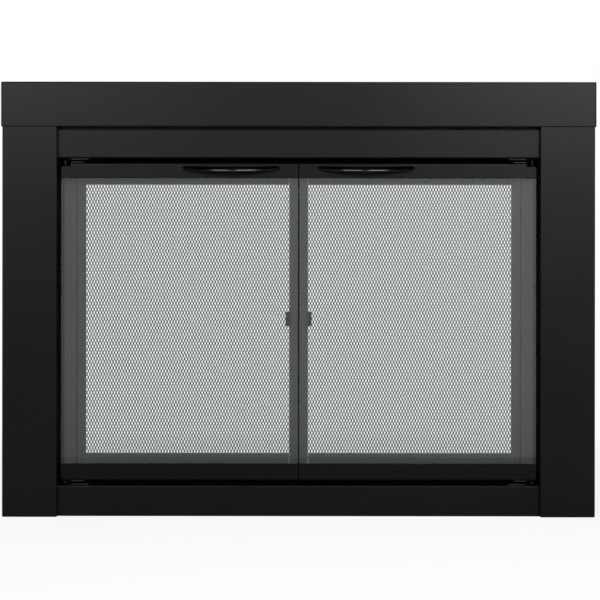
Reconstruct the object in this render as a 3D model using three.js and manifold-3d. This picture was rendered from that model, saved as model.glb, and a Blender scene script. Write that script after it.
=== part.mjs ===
// Fireplace surround with a pair of glass doors and, behind them, a pair of mesh doors.
// Millimetres, +Z up, front towards -Y. The origin is the middle of the bottom rail's underside.

import * as THREE from 'three';
import { mergeGeometries, mergeVertices } from 'three/addons/utils/BufferGeometryUtils.js';
import Module from 'manifold-3d';

const wasm = await Module();
wasm.setup();

// ---- Driving dimensions ------------------------------------------------------------------

// General fits
const seatGap = 0.3; // between two pieces that touch
const pinPlay = 0.3; // radial, round a turning pin
const sheet = 1.2; // surround and door sheet steel
const bend = 1.4; // inner bend radius of the sheet
const pinSides = 24; // facets round a pin, a bore or a turned piece
const cutPast = 5; // how far a cutting form runs past the piece it cuts

// Surround
const headerWidth = 1111.25;
const totalHeight = 812.8;
const headerHeight = 83.9;
const surroundDepth = 46;
const stileWidth = 102.3;
const stileSetback = 2; // stile face behind the header face
const headerOverhang = 2; // header past each stile
const panelEdgeRound = 3; // rolled front edges of header and stiles
const rearLip = 18; // inturned lips that bear on the masonry
const railSetback = 14; // rail faces behind the header face
const innerRailHeight = 54.7;
const innerRailReveal = 3; // dark line under the header
const bottomRailHeight = 58;
const railEndGap = 0.4; // rail end to stile wall

// Inner rebate that the mesh doors hang in
const rebateFaceSetback = 33.6; // rebate strips behind the header face
const upperLipDrop = 24.6;
const lowerLipRise = 35;
const jambStripWidth = 31.5;
const jambStopInset = 0.5; // stop's back in front of the masonry face
const jambStopCover = 6; // stop behind the mesh door, past the jamb's edge

// Glass doors
const doorTopGap = 9;
const doorBottomGap = 9.8;
const doorSideGap = 6;
const doorCentreGap = 2.4;
const doorDepth = 14;
const doorFaceSetback = 15; // door face behind the header face
const doorTopRailHeight = 27.7;
const doorBottomRailHeight = 30.2;
const glassThickness = 4.8;
const glassEdgeInset = 0.4; // bare glass edge inside the rail ends
const glassTopCover = 18; // glass held inside the top rail
const glassBottomCover = 22; // glass held inside the bottom rail
const gasketWall = 2.5;
const gasketBend = 0.2;
const gasketInset = 6; // gasket end from the rail's free end
const gasketHingeInset = 20; // gasket end from the rail's hinge end
const gasketRecess = 1; // gasket mouth inside the rail mouth

// Pivot hinges of the glass doors
const pivotInset = 7; // pivot axis from the door's outer end
const pinRadius = 2.5;
const plateThickness = 2.7; // frame hinge plate
const leafThickness = 2.4; // door hinge leaf
const leafBend = 0.4;
const plateReach = 44; // frame plate, pivot to its inner end
const leafReach = 35; // door leaf, pivot to its inner end
const hingeWidth = 12;
const cornerNotchWidth = 18; // in the door top rail, round the pivot
const cornerNotchHeight = 6.6;
const pinBallRadius = 3.4;
const pinCollarRadius = 4.2;
const lowerPinRise = 4.5; // lower pin past the door's underside

// Bow handles
const handleLength = 182;
const handleCentre = 126.5; // from the middle of the surround
const handleRise = 8.2; // handle ends below the rail's top edge, to the bar's middle
const handleBow = 22; // middle of the bar proud of its ends
const handleDroop = 6.3; // middle of the bar below its ends
const handleDepth = 7.6;
const handleHeight = 8.8;
const handleFootEase = 1.4; // over 1, the bow leaves its feet flat along the rail
const handleFootSink = 1.6; // bar's middle in front of its flat feet
const handleEndShare = 0.8; // bar's thickness near its ends, of that at its middle
const handleTipPower = 7; // the higher, the blunter the tips
const handleStations = 28;
const handleSides = 16;

// Mesh doors
const meshDoorClearance = 3; // above and below, to the rebate lips
const meshDoorSideGap = 1.5;
const meshDoorCentreGap = 0.8;
const meshDoorSetback = 35; // mesh door face behind the header face
const barSheet = 1;
const barDepth = 4.6;
const barBend = 0.4;
const meshStileWidth = 16; // at the hinges
const meshMeetingWidth = 17.1; // where the two doors meet
const meshRailHeight = 20;
const barJointGap = 0.3;
const netThickness = 1.6;
const netStrand = 3;
const netColumns = 10;
const netRows = 6;
const netStileCover = 6; // net inside the stiles
const netRailCover = 8; // net inside the rails
const meshPivotInset = 5.3; // pivot axis from the mesh door's outer edge
const meshPinRadius = 2;
const meshPinLength = 7.5; // past the stile end
const meshPinRoot = 10; // welded inside the stile
const meshCollarRadius = 2.9;
const pullTabHeight = 27.2;
const pullTabSeat = 3.4; // on the meeting stile
const pullTabReach = 7; // over the net
const pullTabLift = 4.6; // towards the room
const tabSheet = 1.3;
const tabBend = 1;
const pullTabFlat = 1; // past the meeting stile before the tab rises

// Pivot brackets of the mesh doors
const earThickness = 1.6;
const earWidth = 18;
const earDepth = 9;
const earHeight = 17;
const earBend = 0.3;

// Brackets behind the surround
const cornerSheet = 2;
const cornerLegX = 26;
const cornerLegY = 22;
const cornerHeight = 42;
const clampInset = 131; // lintel clamp's middle from the stile's wall
const strapWidth = 26;
const strapSheet = 2.6;
const strapFront = 10; // strap's front end behind the inner rail's face
const strapReach = 104; // strap past the masonry face
const strapUpturn = 50;
const screwHeight = 36; // clamp screw above the strap's underside
const screwRadius = 4;
const screwLength = 46; // pad to knob
const screwPadGap = 12; // pad behind the upturned end, screwed right back
const padRadius = 11;
const padThickness = 3;
const knobRadius = 10;
const knobThickness = 9;
const turnedChamfer = 1; // on the pad's and knob's rims
const nutFlats = 14;
const nutThickness = 6;
const footInset = 171; // hearth bracket's middle from the stile's wall
const footWidth = 30;
const footSheet = 2;
const footReach = 42; // past the masonry face
const footTop = 80;
const footHoleRadius = 3.5;
const footHoleInset = 16.8; // from the foot's rear end
const footStepStart = 3; // the step down to the hearth, behind the masonry face
const footStepEnd = 7;
const magnetLength = 120;
const magnetHeight = 12;
const magnetDrop = 2; // below the doors' upper edge

// ---- Planes and edges that follow from them ----------------------------------------------

const masonryY = (surroundDepth - railSetback) / 2;
const headerFaceY = masonryY - surroundDepth;
const stileFaceY = headerFaceY + stileSetback;
const railFaceY = headerFaceY + railSetback;
const rebateFaceY = headerFaceY + rebateFaceSetback;
const rebateBackY = rebateFaceY + sheet;
const doorFaceY = headerFaceY + doorFaceSetback;
const doorBackY = doorFaceY + doorDepth;
const doorMidY = doorFaceY + doorDepth / 2;
const meshFaceY = headerFaceY + meshDoorSetback;
const meshMidY = meshFaceY + barDepth / 2;

const stileOuterX = headerWidth / 2 - headerOverhang;
const stileInnerX = stileOuterX - stileWidth;
const railHalfLength = stileInnerX - railEndGap;
const jambInnerX = stileInnerX - jambStripWidth;
const doorOuterX = stileInnerX - doorSideGap;
const doorFreeX = doorCentreGap / 2;
const pivotX = doorOuterX - pivotInset;
const meshOuterX = jambInnerX - meshDoorSideGap;
const meshFreeX = meshDoorCentreGap / 2;
const meshPivotX = meshOuterX - meshPivotInset;

const headerBottomZ = totalHeight - headerHeight;
const stileTopZ = headerBottomZ - seatGap;
const innerRailTopZ = headerBottomZ - innerRailReveal;
const innerRailBottomZ = innerRailTopZ - innerRailHeight;
const upperLipZ = innerRailBottomZ - upperLipDrop;
const lowerLipZ = bottomRailHeight + lowerLipRise;
const doorTopZ = innerRailBottomZ - doorTopGap;
const doorBottomZ = bottomRailHeight + doorBottomGap;
const glassTopZ = doorTopZ - doorTopRailHeight + glassTopCover;
const glassBottomZ = doorBottomZ + doorBottomRailHeight - glassBottomCover;
const meshTopZ = upperLipZ - meshDoorClearance;
const meshBottomZ = lowerLipZ + meshDoorClearance;

// ---- Materials ---------------------------------------------------------------------------

const finish = (color, roughness, metalness, more) =>
  new THREE.MeshStandardMaterial({ color, roughness, metalness, ...more });

const blackPaint = () => finish(0x191919, 0.45, 0.3);
const railPaint = () => finish(0x171717, 0.42, 0.3);
const meshPaint = () => finish(0x3b3c3c, 0.6, 0.3);
const handleEnamel = () => finish(0x090909, 0.15, 0.2);
const zincSteel = () => finish(0x9a9c9e, 0.4, 0.9);
const darkSteel = () => finish(0x232323, 0.5, 0.8);
const gasketFibre = () => finish(0x2a2a2a, 0.95, 0);
const magnetFerrite = () => finish(0x101010, 0.7, 0.1);
const clearGlass = () => finish(0xd8e0dc, 0.04, 0, { transparent: true, opacity: 0.25 });

// ---- Geometry helpers --------------------------------------------------------------------

const part = new THREE.Group();
const hands = [['left', -1], ['right', 1]];

function add(name, geometry, material, x = 0, y = 0, z = 0) {
  const mesh = new THREE.Mesh(geometry, material);
  mesh.name = name;
  mesh.position.set(x, y, z);
  part.add(mesh);
  return mesh;
}

function solid(geometry) {
  const bare = geometry.clone();
  bare.deleteAttribute('normal');
  bare.deleteAttribute('uv');
  const joined = mergeVertices(bare, 1e-4);
  return new wasm.Manifold(new wasm.Mesh({
    numProp: 3,
    vertProperties: new Float32Array(joined.attributes.position.array),
    triVerts: new Uint32Array(joined.index.array),
  }));
}

function geometryOf(body) {
  const mesh = body.getMesh();
  const geometry = new THREE.BufferGeometry();
  geometry.setAttribute('position', new THREE.BufferAttribute(mesh.vertProperties, 3));
  geometry.setIndex(new THREE.BufferAttribute(mesh.triVerts, 1));
  geometry.computeVertexNormals();
  return geometry;
}

// Box between two corners.
function block(x0, x1, y0, y1, z0, z1) {
  const box = new THREE.BoxGeometry(Math.abs(x1 - x0), Math.abs(y1 - y0), Math.abs(z1 - z0));
  return box.translate((x0 + x1) / 2, (y0 + y1) / 2, (z0 + z1) / 2);
}

// Upright round bar between two heights.
function post(x, y, z0, z1, radius, sides = pinSides) {
  const bar = new THREE.CylinderGeometry(radius, radius, z1 - z0, sides);
  return bar.rotateX(Math.PI / 2).translate(x, y, (z0 + z1) / 2);
}

// Round bar along Y between two depths.
function bolt(x, y0, y1, z, radius, sides = pinSides) {
  return new THREE.CylinderGeometry(radius, radius, y1 - y0, sides).translate(x, (y0 + y1) / 2, z);
}

// Outline of a folded sheet: its middle line through the given corners, each corner turned
// on the bend radius, and half the thickness set off to both sides.
function foldedOutline(corners, thickness, bendRadius) {
  const arcSteps = 4;
  const middleRadius = bendRadius + thickness / 2;
  const points = corners.map(([u, v]) => new THREE.Vector2(u, v));
  const left = [];
  const right = [];
  const put = (at, along) => {
    const normal = new THREE.Vector2(-along.y, along.x).multiplyScalar(thickness / 2);
    left.push(at.clone().add(normal));
    right.push(at.clone().sub(normal));
  };
  const heading = (a, b) => b.clone().sub(a).normalize();
  put(points[0], heading(points[0], points[1]));
  for (let i = 1; i < points.length - 1; i++) {
    const before = heading(points[i - 1], points[i]);
    const after = heading(points[i], points[i + 1]);
    const turn = Math.atan2(before.cross(after), before.dot(after));
    const cutBack = middleRadius * Math.tan(Math.abs(turn) / 2);
    const start = points[i].clone().addScaledVector(before, -cutBack);
    const side = new THREE.Vector2(-before.y, before.x).multiplyScalar(Math.sign(turn) * middleRadius);
    const centre = start.clone().add(side);
    for (let step = 0; step <= arcSteps; step++) {
      const angle = (turn * step) / arcSteps;
      const at = start.clone().rotateAround(centre, angle);
      put(at, before.clone().rotateAround(new THREE.Vector2(), angle));
    }
  }
  const last = points.length - 1;
  put(points[last], heading(points[last - 1], points[last]));
  return new THREE.Shape([...left, ...right.reverse()]);
}

const extrude = (shape, depth) =>
  new THREE.ExtrudeGeometry(shape, { depth, bevelEnabled: false, curveSegments: 8 });

// A section in (y, z) drawn out along X, a section in (x, y) along Z, and one in (x, z) along Y.
const yzToX = new THREE.Matrix4().makeBasis(
  new THREE.Vector3(0, 1, 0),
  new THREE.Vector3(0, 0, 1),
  new THREE.Vector3(1, 0, 0),
);
const alongX = (shape, x0, x1) => {
  const [low, high] = [Math.min(x0, x1), Math.max(x0, x1)];
  return extrude(shape, high - low).applyMatrix4(yzToX).translate(low, 0, 0);
};
const alongZ = (shape, z0, z1) => extrude(shape, z1 - z0).translate(0, 0, z0);
const alongY = (shape, y0, y1) => extrude(shape, y1 - y0).rotateX(Math.PI / 2).translate(0, y1, 0);

// Points round an arc, both ends included.
function arc(x, y, radius, from, to, steps) {
  return Array.from({ length: steps + 1 }, (_, i) => {
    const angle = from + ((to - from) * i) / steps;
    return new THREE.Vector2(x + radius * Math.cos(angle), y + radius * Math.sin(angle));
  });
}

// Flat strap in plan: square inner end, round outer end with a hole at its centre.
function strapPlan(side, fromX, pivot, midY, width, holeRadius) {
  const half = width / 2;
  const quarter = Math.PI / 2;
  const roundEnd = arc(side * pivot, midY, half, -quarter, -quarter + side * Math.PI, pinSides / 2);
  const hole = arc(side * pivot, midY, holeRadius, 0, 2 * Math.PI, pinSides).slice(1);
  const shape = new THREE.Shape([
    new THREE.Vector2(side * fromX, midY - half),
    ...roundEnd,
    new THREE.Vector2(side * fromX, midY + half),
  ]);
  shape.holes.push(new THREE.Path(hole));
  return shape;
}

// Sheet-metal tray open at the back, with rolled front edges and inturned lips round the back.
function tray(x0, x1, z0, z1, faceY, lip) {
  const width = x1 - x0;
  const height = z1 - z0;
  const depth = masonryY - faceY;
  const rolled = (inset, radius, length) => {
    const halfW = width / 2 - inset - radius;
    const halfH = height / 2 - inset - radius;
    const shape = new THREE.Shape([
      new THREE.Vector2(-halfW, -halfH),
      new THREE.Vector2(halfW, -halfH),
      new THREE.Vector2(halfW, halfH),
      new THREE.Vector2(-halfW, halfH),
    ]);
    const form = new THREE.ExtrudeGeometry(shape, {
      depth: length,
      bevelThickness: radius,
      bevelSize: radius,
      bevelSegments: 3,
      curveSegments: 3,
    });
    // Front at y = 0, running back towards +y.
    return solid(form.translate(0, 0, -length - radius).rotateX(Math.PI / 2));
  };
  const trim = solid(block(-width, width, 0, depth, -height, height));
  const outer = rolled(0, panelEdgeRound, depth * 2).intersect(trim);
  const innerForm = rolled(sheet, panelEdgeRound - sheet, depth * 2).translate([0, sheet, 0]);
  const innerTrim = solid(block(-width, width, 0, depth - sheet, -height, height));
  const inner = innerForm.intersect(innerTrim);
  const halfW = width / 2 - lip;
  const halfH = height / 2 - lip;
  const mouth = solid(block(-halfW, halfW, sheet * 2, depth + sheet, -halfH, halfH));
  const shell = outer.subtract(inner).subtract(mouth);
  return geometryOf(shell.translate([(x0 + x1) / 2, faceY, (z0 + z1) / 2]));
}

// ---- Surround ----------------------------------------------------------------------------

function surround() {
  const header = tray(-headerWidth / 2, headerWidth / 2, headerBottomZ, totalHeight, headerFaceY, rearLip);
  add('header_panel', header, blackPaint());
  for (const [hand, side] of hands) {
    const [x0, x1] = [side * stileInnerX, side * stileOuterX].sort((a, b) => a - b);
    add(`${hand}_stile_panel`, tray(x0, x1, 0, stileTopZ, stileFaceY, rearLip), blackPaint());
  }
  const half = sheet / 2;
  // The rear upturn closes the slit under the header.
  const topRail = foldedOutline([
    [masonryY - half, headerBottomZ - seatGap],
    [masonryY - half, innerRailTopZ - half],
    [railFaceY + half, innerRailTopZ - half],
    [railFaceY + half, innerRailBottomZ + half],
    [rebateFaceY + half, innerRailBottomZ + half],
    [rebateFaceY + half, upperLipZ],
  ], sheet, bend);
  add('inner_top_rail', alongX(topRail, -railHalfLength, railHalfLength), blackPaint());
  const bottomRail = foldedOutline([
    [masonryY, half],
    [railFaceY + half, half],
    [railFaceY + half, bottomRailHeight - half],
    [rebateFaceY + half, bottomRailHeight - half],
    [rebateFaceY + half, lowerLipZ],
  ], sheet, bend);
  add('bottom_rail', alongX(bottomRail, -railHalfLength, railHalfLength), blackPaint());
  for (const [hand, side] of hands) {
    // The stop stands behind the mesh door's hinge stile, clear of its swing.
    const stopY = masonryY - jambStopInset - half;
    const flangeX = stileInnerX - seatGap - half;
    const jamb = foldedOutline([
      [side * (jambInnerX - jambStopCover), stopY],
      [side * (jambInnerX + half), stopY],
      [side * (jambInnerX + half), rebateFaceY + half],
      [side * flangeX, rebateFaceY + half],
      [side * flangeX, masonryY],
    ], sheet, bend);
    add(`${hand}_jamb`, alongZ(jamb, lowerLipZ + seatGap, upperLipZ - seatGap), meshPaint());
  }
}

function cornerBrackets() {
  const half = cornerSheet / 2;
  const insideTop = (innerRailTopZ + innerRailBottomZ - cornerHeight) / 2;
  const insideBottom = (bottomRailHeight - cornerHeight) / 2;
  for (const [hand, side] of hands) {
    const wallX = stileInnerX - seatGap - half;
    const backOfFace = railFaceY + sheet + seatGap + half;
    const angle = foldedOutline([
      [side * (wallX - cornerLegX), backOfFace],
      [side * wallX, backOfFace],
      [side * wallX, backOfFace + cornerLegY],
    ], cornerSheet, cornerSheet / 2);
    for (const [level, z] of [['upper', insideTop], ['lower', insideBottom]]) {
      add(`${level}_${hand}_corner_bracket`, alongZ(angle, 0, cornerHeight), zincSteel(), 0, 0, z);
    }
  }
}

// Two straps hooked on the inner top rail reach back under the lintel. The screw in each
// upturned end presses a round pad against the lintel's back.
const strapUnderZ = innerRailBottomZ + sheet + seatGap;
const strapEndY = masonryY + strapReach;
const screwZ = strapUnderZ + screwHeight;

function lintelClamps() {
  const half = strapSheet / 2;
  const section = foldedOutline([
    [railFaceY + strapFront, strapUnderZ + half],
    [strapEndY - half, strapUnderZ + half],
    [strapEndY - half, strapUnderZ + strapUpturn],
  ], strapSheet, strapSheet);
  const nutRadius = nutFlats / Math.sqrt(3);
  const padFaceY = strapEndY - strapSheet - screwPadGap - padThickness;
  // The pad, screw and knob are one turned piece; its axis is drawn along +Y.
  const knobFrom = padThickness + screwLength;
  const knobTo = knobFrom + knobThickness;
  const screwProfile = [
    [0, 0],
    [padRadius - turnedChamfer, 0],
    [padRadius, turnedChamfer],
    [padRadius, padThickness],
    [screwRadius, padThickness],
    [screwRadius, knobFrom],
    [knobRadius - turnedChamfer, knobFrom],
    [knobRadius, knobFrom + turnedChamfer],
    [knobRadius, knobTo - turnedChamfer],
    [knobRadius - turnedChamfer, knobTo],
    [0, knobTo],
  ].map(([r, h]) => new THREE.Vector2(r, h));
  for (const [hand, side] of hands) {
    const x = side * (stileInnerX - clampInset);
    const strap = solid(alongX(section, x - strapWidth / 2, x + strapWidth / 2));
    const nut = solid(bolt(x, strapEndY - half, strapEndY + nutThickness, screwZ, nutRadius, 6));
    const [boreFrom, boreTo] = [strapEndY - strapSheet - cutPast, strapEndY + nutThickness + cutPast];
    const bore = solid(bolt(x, boreFrom, boreTo, screwZ, screwRadius + pinPlay));
    add(`${hand}_lintel_strap`, geometryOf(strap.add(nut).subtract(bore)), zincSteel());
    const screw = new THREE.LatheGeometry(screwProfile, pinSides).translate(x, padFaceY, screwZ);
    add(`${hand}_clamp_screw`, screw, zincSteel());
  }
}

function hearthBrackets() {
  const half = footSheet / 2;
  const uprightY = rebateBackY + seatGap + half;
  const overFlangeZ = sheet + seatGap + half;
  const section = foldedOutline([
    [uprightY, footTop],
    [uprightY, overFlangeZ],
    [masonryY + footStepStart, overFlangeZ],
    [masonryY + footStepEnd, half],
    [masonryY + footReach, half],
  ], footSheet, footSheet / 2);
  for (const [hand, side] of hands) {
    const x = side * (stileInnerX - footInset);
    const foot = solid(alongX(section, x - footWidth / 2, x + footWidth / 2));
    const holeY = masonryY + footReach - footHoleInset;
    const hole = solid(post(x, holeY, -cutPast, footSheet + cutPast, footHoleRadius));
    add(`${hand}_hearth_bracket`, geometryOf(foot.subtract(hole)), zincSteel());
  }
}

function magnetCatch() {
  const half = magnetLength / 2;
  const [y0, y1] = [doorBackY + seatGap, rebateFaceY - seatGap];
  const topZ = doorTopZ - magnetDrop;
  add('magnet_catch', block(-half, half, y0, y1, topZ - magnetHeight, topZ), magnetFerrite());
}

// ---- Pivot hinges of the glass doors -----------------------------------------------------

const upperPlateTopZ = innerRailBottomZ - seatGap;
const lowerPlateBottomZ = bottomRailHeight + seatGap;
const notchFloorZ = doorTopZ - cornerNotchHeight;
const notchX = doorOuterX - cornerNotchWidth;
const lowerLeafTopZ = doorBottomZ - seatGap;
const lowerLeafBottomZ = lowerLeafTopZ - leafThickness;

function frameHinges() {
  for (const [hand, side] of hands) {
    const plan = strapPlan(side, pivotX - plateReach, pivotX, doorMidY, hingeWidth, pinRadius + pinPlay);
    const plates = [['upper', upperPlateTopZ - plateThickness], ['lower', lowerPlateBottomZ]];
    for (const [level, z] of plates) {
      add(`${level}_${hand}_frame_plate`, alongZ(plan, z, z + plateThickness), darkSteel());
    }

    // Upper pin: a plain shaft with a ball that shows in the door rail's corner notch.
    const shaftBottom = notchFloorZ + 2 * seatGap;
    const shaftTop = upperPlateTopZ - seatGap;
    const [leafTop, plateBottom] = [notchFloorZ + seatGap + leafThickness, upperPlateTopZ - plateThickness];
    const ballZ = (leafTop + plateBottom) / 2;
    const upper = solid(post(0, 0, shaftBottom, shaftTop, pinRadius));
    const sphere = new THREE.SphereGeometry(pinBallRadius, pinSides, pinSides / 2);
    const ball = solid(sphere.translate(0, 0, ballZ));
    add(`upper_${hand}_hinge_pin`, geometryOf(upper.add(ball)), darkSteel(), side * pivotX, doorMidY);

    // Lower pin: its collar carries the door leaf.
    const pinBottom = lowerPlateBottomZ + seatGap;
    const pinTop = doorBottomZ + lowerPinRise;
    const collarBottom = lowerPlateBottomZ + plateThickness + seatGap;
    const lower = solid(post(0, 0, pinBottom, pinTop, pinRadius));
    const collar = solid(post(0, 0, collarBottom, lowerLeafBottomZ - seatGap, pinCollarRadius));
    add(`lower_${hand}_hinge_pin`, geometryOf(lower.add(collar)), darkSteel(), side * pivotX, doorMidY);
  }
}

// ---- Glass doors -------------------------------------------------------------------------

function doorRailSection(mouthZ, closedZ) {
  const half = sheet / 2;
  const crown = closedZ - Math.sign(closedZ - mouthZ) * half;
  return foldedOutline([
    [doorFaceY + half, mouthZ],
    [doorFaceY + half, crown],
    [doorBackY - half, crown],
    [doorBackY - half, mouthZ],
  ], sheet, bend);
}

// Gasket folded round the glass edge inside a door rail.
function gasketSection(mouthZ, glassEdgeZ) {
  const away = Math.sign(glassEdgeZ - mouthZ);
  const half = gasketWall / 2;
  const front = doorMidY - glassThickness / 2 - seatGap - half;
  const back = doorMidY + glassThickness / 2 + seatGap + half;
  const crown = glassEdgeZ + away * (seatGap + half);
  return foldedOutline([
    [front, mouthZ + away * gasketRecess],
    [front, crown],
    [back, crown],
    [back, mouthZ + away * gasketRecess],
  ], gasketWall, gasketBend);
}

// The upper leaf lies on the door rail, steps down into the corner notch and ends under the
// pin's ball, so that the leaf and the pin both stay inside the gap over the door.
function upperLeaf(side) {
  const half = leafThickness / 2;
  const riserX = notchX + seatGap + half;
  const overRailZ = doorTopZ + seatGap + half;
  const inNotchZ = notchFloorZ + seatGap + half;
  const endX = pivotX + hingeWidth / 2;
  const section = foldedOutline([
    [side * (pivotX - leafReach), overRailZ],
    [side * riserX, overRailZ],
    [side * riserX, inNotchZ],
    [side * endX, inNotchZ],
  ], leafThickness, leafBend);
  const leaf = solid(alongY(section, doorMidY - hingeWidth / 2, doorMidY + hingeWidth / 2));
  const [boreFrom, boreTo] = [inNotchZ - cutPast, inNotchZ + cutPast];
  const bore = solid(post(side * pivotX, doorMidY, boreFrom, boreTo, pinRadius + pinPlay));
  return geometryOf(leaf.subtract(bore));
}

// A spindle turned about Y, bent into a bow that stands off the rail and droops in the middle.
function bowHandle(side) {
  const half = handleLength / 2;
  const profile = [];
  for (let i = 0; i <= handleStations; i++) {
    const at = -Math.cos((Math.PI * i) / handleStations);
    const taper = handleEndShare + (1 - handleEndShare) * (1 - at * at);
    profile.push(new THREE.Vector2(taper * Math.sqrt(1 - Math.abs(at) ** handleTipPower), at));
  }
  profile[0].x = 0;
  profile[handleStations].x = 0;
  const spindle = new THREE.LatheGeometry(profile, handleSides);
  const points = spindle.attributes.position;
  const seatY = doorFaceY - seatGap;
  const endZ = doorTopZ - handleRise;
  for (let i = 0; i < points.count; i++) {
    const at = points.getY(i);
    const arch = 1 - at * at;
    points.setXYZ(
      i,
      side * handleCentre + half * at,
      seatY - handleFootSink - handleBow * arch ** handleFootEase - (points.getX(i) * handleDepth) / 2,
      endZ - handleDroop * arch + (points.getZ(i) * handleHeight) / 2,
    );
  }
  const room = solid(block(
    side * handleCentre - handleLength, side * handleCentre + handleLength,
    seatY - handleBow * 3, seatY, endZ - handleLength, endZ + handleLength,
  ));
  return geometryOf(solid(spindle).intersect(room));
}

function glassDoors() {
  const topMouthZ = doorTopZ - doorTopRailHeight;
  const bottomMouthZ = doorBottomZ + doorBottomRailHeight;
  for (const [hand, side] of hands) {
    const paneX0 = side * (doorFreeX + glassEdgeInset);
    const paneX1 = side * (doorOuterX - glassEdgeInset);
    const paneY0 = doorMidY - glassThickness / 2;
    add(`${hand}_glass_pane`,
      block(paneX0, paneX1, paneY0, paneY0 + glassThickness, glassBottomZ, glassTopZ), clearGlass());

    const topRail = solid(alongX(
      doorRailSection(topMouthZ, doorTopZ), side * doorFreeX, side * doorOuterX,
    ));
    const notch = solid(block(
      side * notchX, side * (doorOuterX + cutPast),
      doorFaceY - cutPast, doorBackY + cutPast,
      notchFloorZ, doorTopZ + cutPast,
    ));
    add(`${hand}_door_top_rail`, geometryOf(topRail.subtract(notch)), railPaint());

    const lowRail = solid(alongX(
      doorRailSection(bottomMouthZ, doorBottomZ), side * doorFreeX, side * doorOuterX,
    ));
    const pinHole = solid(post(
      side * pivotX, doorMidY, doorBottomZ - cutPast, doorBottomZ + cutPast, pinRadius + 2 * pinPlay,
    ));
    add(`${hand}_door_bottom_rail`, geometryOf(lowRail.subtract(pinHole)), railPaint());

    const gasketX0 = side * (doorFreeX + gasketInset);
    const gasketX1 = side * (doorOuterX - gasketHingeInset);
    const channels = [['top', topMouthZ, glassTopZ], ['bottom', bottomMouthZ, glassBottomZ]];
    for (const [level, mouthZ, edgeZ] of channels) {
      const section = gasketSection(mouthZ, edgeZ);
      add(`${hand}_${level}_gasket`, alongX(section, gasketX0, gasketX1), gasketFibre());
    }

    add(`${hand}_bow_handle`, bowHandle(side), handleEnamel());
    add(`upper_${hand}_door_leaf`, upperLeaf(side), darkSteel());
    const plan = strapPlan(side, pivotX - leafReach, pivotX, doorMidY, hingeWidth, pinRadius + pinPlay);
    add(`lower_${hand}_door_leaf`, alongZ(plan, lowerLeafBottomZ, lowerLeafTopZ), darkSteel());
  }
}

// ---- Mesh doors --------------------------------------------------------------------------

// Flat bar folded round the net's edge: a narrow channel whose mouth faces the net.
function barSection(mouth, web, swap) {
  const half = barSheet / 2;
  const inward = web - Math.sign(web - mouth) * half;
  const front = meshFaceY + half;
  const back = meshFaceY + barDepth - half;
  const corners = [[mouth, front], [inward, front], [inward, back], [mouth, back]];
  return foldedOutline(swap ? corners.map(([u, v]) => [v, u]) : corners, barSheet, barBend);
}

// Diamond lattice: full diamonds on two staggered grids, halves along the four edges, all cut
// from a plate whose margins run into the bars.
function meshNet(x0, x1, z0, z1) {
  const pitchX = (x1 - x0) / netColumns;
  const pitchZ = (z1 - z0) / netRows;
  const inradius = (pitchX * pitchZ) / 2 / Math.hypot(pitchX, pitchZ);
  const share = 1 - netStrand / 2 / inradius;
  const halfX = (pitchX / 2) * share;
  const halfZ = (pitchZ / 2) * share;
  const front = meshMidY - netThickness / 2;
  const back = meshMidY + netThickness / 2;
  const gaps = [];
  const cut = (x, z, left, right, down, up) => {
    const ring = [];
    if (right) ring.push(new THREE.Vector2(x + halfX, z));
    if (up) ring.push(new THREE.Vector2(x, z + halfZ));
    if (left) ring.push(new THREE.Vector2(x - halfX, z));
    if (down) ring.push(new THREE.Vector2(x, z - halfZ));
    gaps.push(alongY(new THREE.Shape(ring), front - cutPast, back + cutPast));
  };
  for (let i = 0; i < netColumns; i++) {
    for (let j = 0; j < netRows; j++) {
      cut(x0 + (i + 0.5) * pitchX, z0 + (j + 0.5) * pitchZ, true, true, true, true);
    }
  }
  for (let i = 0; i <= netColumns; i++) {
    for (let j = 0; j <= netRows; j++) {
      const atSide = i === 0 || i === netColumns;
      const atEnd = j === 0 || j === netRows;
      if (atSide && atEnd) continue;
      cut(x0 + i * pitchX, z0 + j * pitchZ, i > 0, i < netColumns, j > 0, j < netRows);
    }
  }
  const plate = block(
    x0 - netStileCover, x1 + netStileCover, front, back, z0 - netRailCover, z1 + netRailCover,
  );
  return geometryOf(solid(plate).subtract(solid(mergeGeometries(gaps))));
}

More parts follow.
